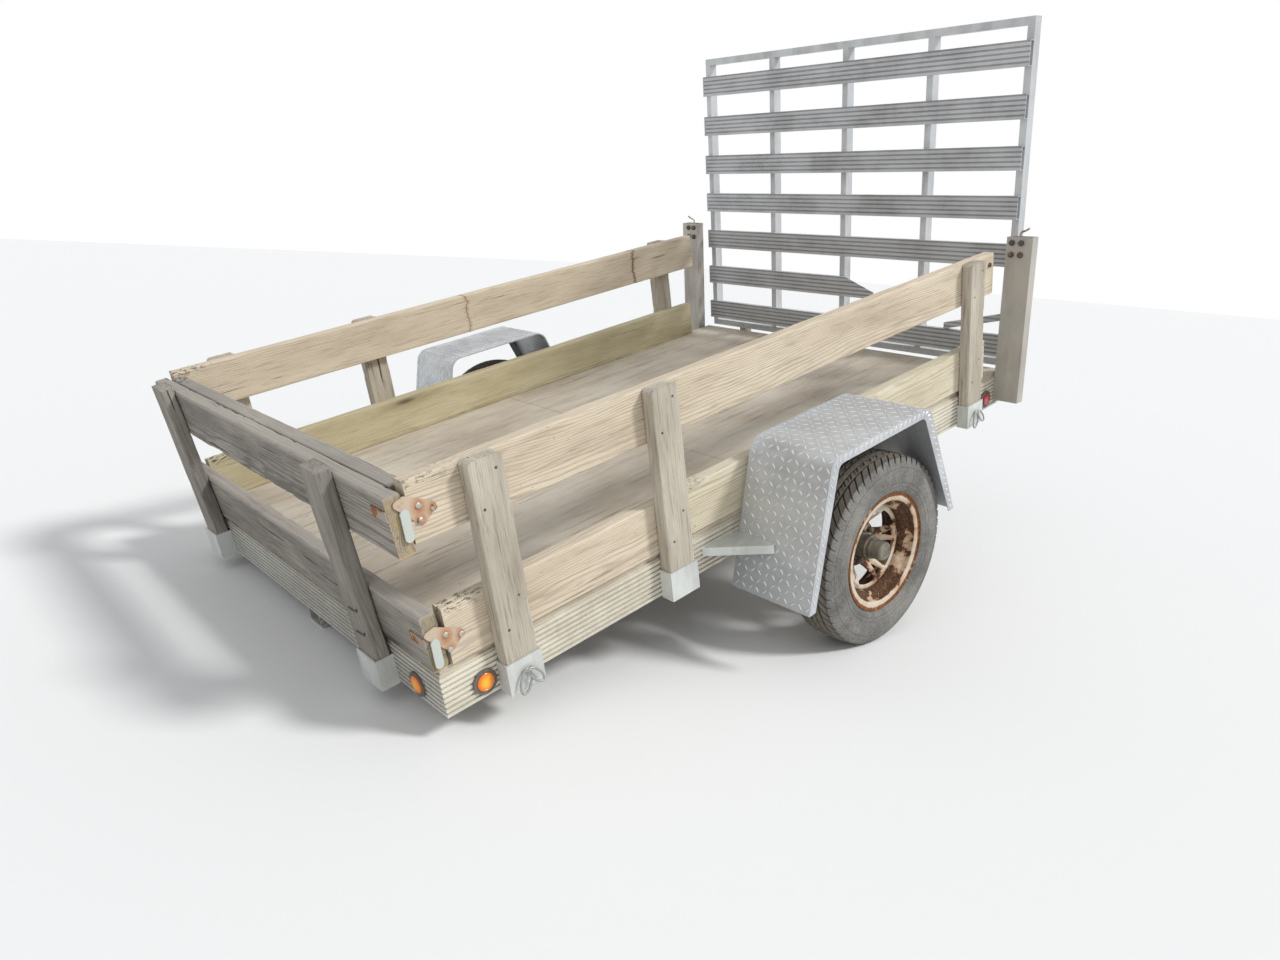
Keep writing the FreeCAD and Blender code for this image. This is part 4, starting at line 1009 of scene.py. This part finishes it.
def add_planks(node, place, order, wear, split_axis, top_cut):
    """The worn planks of one node, split where there are gaps; order says how each of them lies."""
    along, up, through = order
    points = solid_points(node, place)
    points = points[np.argsort(points[:, split_axis])]
    breaks = np.nonzero(np.diff(points[:, split_axis]) > SPLIT_GAP)[0] + 1
    parts = []
    for number, plank in enumerate(np.split(points, breaks)):
        low, high = plank.min(0), plank.max(0)
        span, middle = high - low, (low + high) / 2
        seed = sum(map(ord, node)) + 131 * number
        sheet, faces = worn_plank((span[up], span[through], span[along]), wear, seed, top_cut)
        placed = np.empty_like(sheet)
        placed[..., up] = sheet[..., 0] + middle[up]
        placed[..., through] = sheet[..., 1] + middle[through]
        placed[..., along] = sheet[..., 2] + low[along]
        parts.append((placed, faces))
    piece = add_parts(f"worn_{node}", place, parts, WOOD[node], smooth=50)
    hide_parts(node)
    print(piece.name, len(piece.data.polygons), "faces")


for node, place, order, pith, look, wear, mark in PLANKS:
    if node.startswith("stakes"):
        add_planks(node, place, order, wear, 0 if node == "stakes_front" else 1, STAKE_CUT)
    else:
        add_planks(node, place, order, wear, order[1], 0)

# %% [markdown]
# ## Raised lugs of the tread plate
# Tread plate is rolled with small lozenges that lie at 45 degrees, each turned against its neighbours.
# They are laid along the fender's bent outline: a table of its corners gives a path with round bends,
# and every lozenge takes its place, its direction and its outward side from the path at that length.

# %% Tread plate lugs
FENDER_CORNERS = np.array(((0.892, -0.186), (1.009, 0.216), (1.446, 0.216), (1.582, -0.15)))
FENDER_BEND = 0.05
FENDER_ACROSS = (0.765, 1.035)
PATH_STEP = 0.002
LUG_PITCH = 0.0245
LUG_LENGTH, LUG_WIDTH = 0.022, 0.0068
LUG_ROWS, LUG_COLUMNS = 9, 7
LUG_RISE = 0.0017
LUG_SINK = 0.0002
SKIRT_FACE = FENDER_ACROSS[1] - LUG_RISE
SKIRT_MIDDLE = 0.0125
TOP_MARGINS, SIDE_MARGINS, SKIRT_MARGINS = (0.016, 0.012), (0.014, 0.008), (0.014, 0.01)


def bent_path(corners, radius):
    """Evenly stepped points and directions along straight legs joined by round bends to the right."""
    line = [corners[0]]
    for before, here, after in zip(corners, corners[1:], corners[2:]):
        into_it, out_of_it = unit(here - before), unit(after - here)
        bend = math.acos(into_it @ out_of_it)
        side = np.array([into_it[1], -into_it[0]])
        centre = here - into_it * radius * math.tan(bend / 2) + side * radius
        share = np.linspace(0, bend, 12)[:, None]
        line += list(centre - side * radius * np.cos(share) + into_it * radius * np.sin(share))
    line = np.array(line + [corners[-1]])
    lengths = line_lengths(line)
    at = np.arange(0, lengths[-1], PATH_STEP)
    path = line_points(at, lengths, line)
    return at, path, unit(np.gradient(path, axis=0))


def lozenge():
    """Closed lens-shaped lug: along and across it, its height, and the height's share.

    Width and height fall off to points at both ends. The last column lies under the plate's face, so
    the columns close into a ring.
    """
    u = np.linspace(-1, 1, LUG_ROWS)[:, None] + np.zeros(LUG_COLUMNS + 1)
    across = np.append(np.linspace(-1, 1, LUG_COLUMNS), 0)
    crest = (1 - across ** 2) ** 0.7 * (1 - u ** 4)
    crest[:, -1] = 0
    height = crest * LUG_RISE - LUG_SINK * (1 - u * u) * (1 + (np.arange(LUG_COLUMNS + 1) == LUG_COLUMNS))
    return u * LUG_LENGTH / 2, across * (1 - u * u) * LUG_WIDTH / 2, height, crest


def lay_lugs(lug, at, path, ahead, lengths, across, tilt):
    """Lugs at given lengths along a path: turned in the sheet by the tilt, then set off the path.

    Returns how far aside each point is, its y and z on the path, the path's direction there and faces.
    """
    u, v = lug[:2]
    c, s = np.cos(tilt)[:, None, None], np.sin(tilt)[:, None, None]
    along = lengths[:, None, None] + u * c - v * s
    aside = across[:, None, None] + u * s + v * c
    y, z, dy, dz = (np.interp(along, at, line) for line in (*path.T, *ahead.T))
    first = (np.arange(len(lengths)) * u.size)[:, None, None]
    faces = (grid_faces(*u.shape, False, True)[None] + first).reshape(-1, 4)
    return aside, y, z, dy, dz, faces


def lug_painted_light():
    """Rolled lugs: painted shade at their feet and a painted highlight on their crests, by the crest share
    that the mesh carries.
    """
    finish = Finish("lug_crests_painted_light", metallic=0.6)
    fine = finish.noise(finish.point(LEVEL), 60, 4, 0.7)
    rise = (finish.share() + (fine - 0.5) * 0.5).step(0.05, 0.65)
    # The dark foot tone is painted shade and the pale crest tone is a painted highlight.
    tone = finish.mix(rise, (0.34, 0.335, 0.32), (0.7, 0.715, 0.73))
    return finish.done(base_color=tone, roughness=0.55 - rise * 0.22)


def add_fender(side, sign):
    """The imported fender, its skirt's face moved in by a lug's height, and lugs on its top and skirt."""
    node = f"fender_{side}"
    data = NODES[node].data
    points = corner_points(data)
    points[:, 0] = np.clip(points[:, 0], -SKIRT_FACE, SKIRT_FACE)
    data.calc_loop_triangles()
    corners = np.empty(len(data.loop_triangles) * 3, np.int32)
    data.loop_triangles.foreach_get("vertices", corners)
    plate = mesh_piece(f"rolled_{node}", points, corners.reshape(-1, 3), TREAD_PLATE, smooth=30)
    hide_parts(node)

    at, path, ahead = bent_path(FENDER_CORNERS, FENDER_BEND)
    lug = lozenge()
    height, crest = lug[2:]
    rows = np.arange(TOP_MARGINS[0], at[-1] - TOP_MARGINS[1], LUG_PITCH)
    columns = np.arange(FENDER_ACROSS[0] + SIDE_MARGINS[0], FENDER_ACROSS[1] - SIDE_MARGINS[1], LUG_PITCH)
    lengths, across = np.meshgrid(rows, columns, indexing="ij")
    number = np.add.outer(np.arange(len(rows)), np.arange(len(columns)))
    tilt = np.where(number % 2 == 0, np.pi / 4, -np.pi / 4)
    aside, y, z, dy, dz, faces = lay_lugs(lug, at, path, ahead, lengths.ravel(), across.ravel(), tilt.ravel())
    top = (np.stack([sign * aside, y - dz * height, z + dy * height], -1), faces)

    starts = np.arange(SKIRT_MARGINS[0], at[-1] - SKIRT_MARGINS[1], LUG_PITCH * 0.9)
    middle, tilt = np.full(len(starts), -SKIRT_MIDDLE), np.full(len(starts), np.pi / 4)
    deep, y, z, dy, dz, faces = lay_lugs(lug, at, path, ahead, starts, middle, tilt)
    skirt = (np.stack([sign * (SKIRT_FACE + height) + 0 * y, y - dz * deep, z + dy * deep], -1), faces)
    # The crest share sets the lugs' painted shade and painted highlight.
    share = np.tile(crest.ravel(), lengths.size + len(starts))
    piece = add_parts(f"tread_lugs_{side}", LEVEL, [top, skirt], LUG_METAL, "trailer", 60, share)
    print(piece.name, len(piece.data.polygons), "faces over", plate.name)


LUG_METAL = lug_painted_light()
for side, sign in SIDES:
    add_fender(side, sign)

# %% [markdown]
# ## Bolts, screws and rings
# Small hardware is placed by tables of centres in the frame that carries it: carriage bolts on the
# corner latches, hex bolts on the rear posts, screws where a board meets a stake, and rings for ropes on
# the pockets. A rod is swept along its path with a frame that never flips.

# %% Hardware
LATCH_FACE, STAKE_FACE, POST_FACE, NAIL_Y = 0.7528, 0.7865, -0.0002, -0.04
POST_BOLTS = ((0.77, 0.474), (0.803, 0.474), (0.77, 0.434), (0.803, 0.434))
BOARD_END_BOLTS = ((0.7495, 2.262, 0.418),)
STAKE_SCREWS = ((0.022, 0.345), (0.066, 0.425), (0.024, 0.05), (0.064, 0.122))
STAKE_STARTS = (0.145, 0.653, 2.085)
STAKE_MIDDLE = 0.046
ROD_RADIUS, NAIL_RADIUS, PIN_RADIUS = 0.0028, 0.0017, 0.0035
STAPLE_WALL, STAPLE_HEIGHT, STAPLE_REACH, STAPLE_HALF = 0.79, -0.062, 0.013, 0.012
HANG_OUT, HANG_HEIGHT, HANG_LEAN = 0.8005, -0.0585, 0.1
RING_SHAPES = ((-0.42, 0.014, 0.06), (0.62, 0.011, 0.052))
NAIL_HEIGHTS = (0.14, 0.205)
NAIL_BENDS = ((0.47, 0), (0.497, 0.001), (0.513, 0.004), (0.519, 0.013))
PIN_BENDS = (
    (0.787, 0.02, 0.48), (0.787, 0.02, 0.503), (0.792, 0.02, 0.509), (0.806, 0.018, 0.514),
    (0.821, 0.016, 0.523),
)


def rod(path, radius, sides=10, closed=True):
    """Closed tube round a path: its cross axes are carried along it without twist."""
    path = np.array(path, float)
    ahead = unit(np.roll(path, -1, 0) - np.roll(path, 1, 0) if closed else np.gradient(path, axis=0))
    plane = np.linalg.svd(path - path.mean(0))[2][2]
    across = unit(np.cross(ahead, plane))
    up = np.cross(ahead, across)
    angle = 2 * np.pi * np.arange(sides)[:, None] / sides
    points = path[:, None] + radius * (across[:, None] * np.cos(angle) + up[:, None] * np.sin(angle))
    if closed:
        return points, grid_faces(len(path), sides)
    ends = np.repeat(path[[0, -1]][:, None], sides, 1)
    points = np.concatenate([ends[:1], points, ends[1:]])
    return points, grid_faces(len(path) + 2, sides, wrap_rows=False)


def ring_path(centre, half_width, drop, swing, tilt, count=44):
    """Oval that hangs from its top, swung aside in its own plane and leaning out from the wall."""
    angle = 2 * np.pi * np.arange(count) / count
    aside = half_width * np.sin(angle)
    down = drop / 2 * (np.cos(angle) - 1)
    y = centre[1] + aside * math.cos(swing) - down * math.sin(swing)
    low = aside * math.sin(swing) + down * math.cos(swing)
    return np.stack([centre[0] - low * math.sin(tilt), y, centre[2] + low * math.cos(tilt)], -1)


def staple_path(centre, reach, width):
    """Half loop that stands out of a wall."""
    angle = np.linspace(0, np.pi, 14)[:, None]
    return centre + np.sin(angle) * (reach, 0, 0) + np.cos(angle) * (0, width, 0)


BOLT_STEEL = rusty("bolt_steel", LEVEL, (0.55, 0.54, 0.51), 0.38, 0.6, 60)
DARK_STEEL = rusty("dark_steel", LEVEL, (0.1, 0.09, 0.08), 0.14, 0.4, 60)
RING_ZINC = rusty("ring_zinc", LEVEL, (0.4, 0.41, 0.4), 0.14, 0.6, 60)
latch_bolts = [(LATCH_FACE, y, z) for y, z in LATCH_BOLTS]
post_bolts = [(x, POST_FACE, z) for x, z in POST_BOLTS]
stake_screws = [(STAKE_FACE, start + y, z) for start in STAKE_STARTS for y, z in STAKE_SCREWS]
for name, place, centres, axis, shape, material, smooth in (
    # shape: outline, radius, height, sides
    ("carriage_bolts", LEVEL, latch_bolts, (1, 0, 0), (DOME, 0.0078, 0.0045, 18), BOLT_STEEL, 35),
    ("post_bolts", POSTS, post_bolts, (0, -1, 0), (NUT, 0.0105, 0.011, 6), DARK_STEEL, 25),
    ("board_end_bolts", LEVEL, BOARD_END_BOLTS, (1, 0, 0), (NUT, 0.0085, 0.008, 6), DARK_STEEL, 25),
    ("stake_screws", LEVEL, stake_screws, (1, 0, 0), (DOME, 0.0042, 0.0022, 12), DARK_STEEL, 35),
):
    parts = [stud((sign * x, y, z), (sign * axis[0], *axis[1:]), *shape)
             for side, sign in SIDES for x, y, z in centres]
    add_parts(name, place, parts, material, smooth=smooth)
    print(name, len(parts))

rings, pins, nails = [], [], []
for side, sign in SIDES:
    for start in STAKE_STARTS[::2]:
        foot = (sign * STAPLE_WALL, start + STAKE_MIDDLE, STAPLE_HEIGHT)
        rings.append(rod(staple_path(foot, sign * STAPLE_REACH, STAPLE_HALF), ROD_RADIUS, closed=False))
        for swing, half_width, drop in RING_SHAPES:
            hang = (sign * (HANG_OUT + 0.004 * swing), start + STAKE_MIDDLE, HANG_HEIGHT)
            rings.append(rod(ring_path(hang, half_width, drop, swing, sign * HANG_LEAN), ROD_RADIUS))
    pins.append(rod([(sign * x, y, z) for x, y, z in PIN_BENDS], PIN_RADIUS, closed=False))
for height in NAIL_HEIGHTS:
    nails.append(rod([(x, NAIL_Y, height + z) for x, z in NAIL_BENDS], NAIL_RADIUS, closed=False))
add_parts("tie_rings", LEVEL, rings, RING_ZINC, smooth=60)
add_parts("bent_nails", RACK, nails, DARK_STEEL, smooth=60)
add_parts("post_pins", POSTS, pins, BOLT_STEEL, smooth=60)
print("rings:", len(rings), "nails:", len(nails), "pins:", len(pins))

# %% [markdown]
# ## Lamp lenses and tube ends
# A marker lamp's lens is moulded with rings that spread the light. Each lens is one outline turned
# about its axis, and its mesh carries how near the middle every point is, so the finish can paint a
# highlight there. The gate's long tubes are closed by small plates in their ends.

# %% Lenses and tube ends
LENS_OUTLINE = np.array((
    (0, 0), (1, 0), (1, 0.45), (0.93, 0.82), (0.8, 0.95), (0.77, 0.82), (0.62, 0.97), (0.59, 0.86),
    (0.43, 1), (0.4, 0.9), (0.22, 1), (0, 1),
))
LENS_RADIUS, LENS_SEAT, LENS_DEPTH, LENS_SIDES = 0.022, 0.005, 0.004, 48
LAMP_HEIGHT = -0.066
AMBER_Y, RED_Y = 0.104, FRAME_LENGTH - 0.13
FRONT_LAMPS_X = (HALF_WIDTH - 0.114, 0.06 - HALF_WIDTH)
TUBE_LOWS = (0.028, 1.169)
TUBE_INNER_Y = (-0.0034, 0.0314)
TUBE_INNER_Z = (0.0026, 0.0224)
TUBE_END = (0.7405, 0.7437)
EDGE_BREAK = 0.0004


def add_lenses(name, node, spots, material):
    """Ringed lenses at (centre, axis) spots, standing for one node."""
    parts = [stud(centre, axis, LENS_OUTLINE, LENS_RADIUS, LENS_DEPTH, LENS_SIDES) for centre, axis in spots]
    # How near the middle each point is, which sets the painted highlight of the lens.
    middle = np.tile(1 - LENS_OUTLINE[:, 0], LENS_SIDES * len(spots))
    piece = add_parts(name, LEVEL, parts, material, "trailer", 40, middle)
    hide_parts(node)


def slab(outline, low, high, inset=0.93):
    """Closed plate over an outline of corners, from a low to a high level, its edges slightly broken."""
    outline = np.array(outline, float)
    middle = outline.mean(0)
    shares = np.array([0, inset, 1, 1, inset, 0])
    flat = middle + (outline - middle) * shares[:, None, None]
    levels = np.array([high, high, high - EDGE_BREAK, low + EDGE_BREAK, low, low])
    levels = np.broadcast_to(levels[:, None, None], flat.shape[:2] + (1,))
    return np.concatenate([flat, levels], -1), grid_faces(6, len(outline), wrap_rows=False)


seat_x = HALF_WIDTH + LENS_SEAT
amber_spots = [((sign * seat_x, AMBER_Y, LAMP_HEIGHT), (sign, 0, 0)) for side, sign in SIDES]
amber_spots += [((x, -LENS_SEAT, LAMP_HEIGHT), (0, -1, 0)) for x in FRONT_LAMPS_X]
red_spots = [((sign * seat_x, RED_Y, LAMP_HEIGHT), (sign, 0, 0)) for side, sign in SIDES]
add_lenses("ringed_lenses_amber", "lenses_amber", amber_spots, AMBER)
add_lenses("ringed_lenses_red", "lenses_red", red_spots, RED)

plugs = []
for side, sign in SIDES:
    for tube_low in TUBE_LOWS:
        low, high = (tube_low + z for z in TUBE_INNER_Z)
        corners = list(zip(np.repeat(TUBE_INNER_Y, 2), (low, high, high, low)))
        points, faces = slab(corners, *sorted(sign * x for x in TUBE_END))
        plugs.append((points[..., [2, 0, 1]], faces))
add_parts("tube_end_plates", GATE, plugs, GATE_TUBE, "ramp_gate", 20)
print("lenses:", len(amber_spots) + len(red_spots), "end plates:", len(plugs))

# %% [markdown]
# ## Brackets of the fenders
# Each leg of a fender is tied to the rail by a triangular gusset whose long edge is folded down into a
# flange, which keeps the thin sheet stiff. Plate and flange are both slabs over a short outline.

# %% Fender brackets
BRACKET_TOP, BRACKET_SHEET, FLANGE_DROP = -0.036, 0.0035, 0.025
BRACKET_REACH = 0.145
BRACKET_RUN = 0.13
# Where a leg's face is at the plate, where it is at the flange's foot, and the way out along the rail.
FENDER_LEGS = ((0.9355, 0.929, -1), (1.5405, 1.548, 1))
gussets = []
for side, sign in SIDES:
    for face_y, foot_y, way in FENDER_LEGS:
        rail_x, tip_x = sign * HALF_WIDTH, sign * (HALF_WIDTH + BRACKET_REACH)
        start, tip = np.array([rail_x, face_y + way * BRACKET_RUN]), np.array([tip_x, foot_y])
        plate = [(rail_x, face_y), (tip_x, face_y), start]
        gussets.append(slab(plate, BRACKET_TOP - BRACKET_SHEET, BRACKET_TOP))
        inward = BRACKET_SHEET * np.abs(unit(tip - start))[::-1] * (-sign, -way)
        flange = [start, tip, tip + inward, start + inward]
        gussets.append(slab(flange, BRACKET_TOP - FLANGE_DROP, BRACKET_TOP, 0.99))
piece = add_parts("flanged_brackets", LEVEL, gussets, FOLDED, smooth=20)
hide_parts("fender_brackets")
print("brackets:", len(gussets) // 2)

# %% [markdown]
# ## Floor and light
# A pale floor that joins a pale background. One broad, high lamp stands to the trailer's left and a
# little behind, so the left side is bright and the front rack lies in soft shade. Light from all round
# fills the rest, and what the camera sees past the floor is plain white.

# %% Studio
FLOOR_HALF = 30


def add_floor():
    """One flat square under the trailer."""
    data = bpy.data.meshes.new("floor")
    corners = [(x * FLOOR_HALF, y * FLOOR_HALF, 0) for x, y in ((-1, -1), (1, -1), (1, 1), (-1, 1))]
    data.from_pydata(corners, [], [(0, 1, 2, 3)])
    data.materials.append(Finish("pale_floor", roughness=0.9).done(base_color=(0.82, 0.82, 0.81, 1)))
    floor = add_object("floor", data)


def add_sun(name, towards, strength, spread):
    """Distant lamp that shines along a direction, with an apparent width in degrees."""
    data = bpy.data.lights.new(name, "SUN")
    data.energy = strength
    data.angle = math.radians(spread)
    lamp = add_object(name, data)
    lamp.rotation_euler = Vector(towards).to_track_quat("-Z", "Y").to_euler()


def set_world(strength):
    """Soft sky light, and plain white where the camera or a mirror looks past the floor."""
    world = bpy.data.worlds.new("studio")
    bpy.context.scene.world = world
    world.use_nodes = True
    nodes = Nodes(world.node_tree)
    sky = nodes.add("Background", {"Color": (0.93, 0.96, 1, 1), "Strength": strength})
    white = nodes.add("Background", {"Color": (1, 1, 1, 1), "Strength": 1})
    camera_ray, glossy_ray, clear_ray = [
        nodes.add("LightPath", {}, f"Is {kind} Ray") for kind in ("Camera", "Glossy", "Transmission")
    ]
    surface = nodes.add("MixShader", {0: camera_ray.most(glossy_ray).most(clear_ray), 1: sky, 2: white})
    nodes.feed(world.node_tree.nodes["World Output"].inputs["Surface"], surface)


add_floor()
add_sun("key", (-0.6, -0.4, -0.69), 2.2, 12)
add_sun("fill", (-0.25, 0.75, -0.6), 0.25, 40)
set_world(0.6)
bpy.context.scene.view_settings.view_transform = "Standard"
print("studio ready")
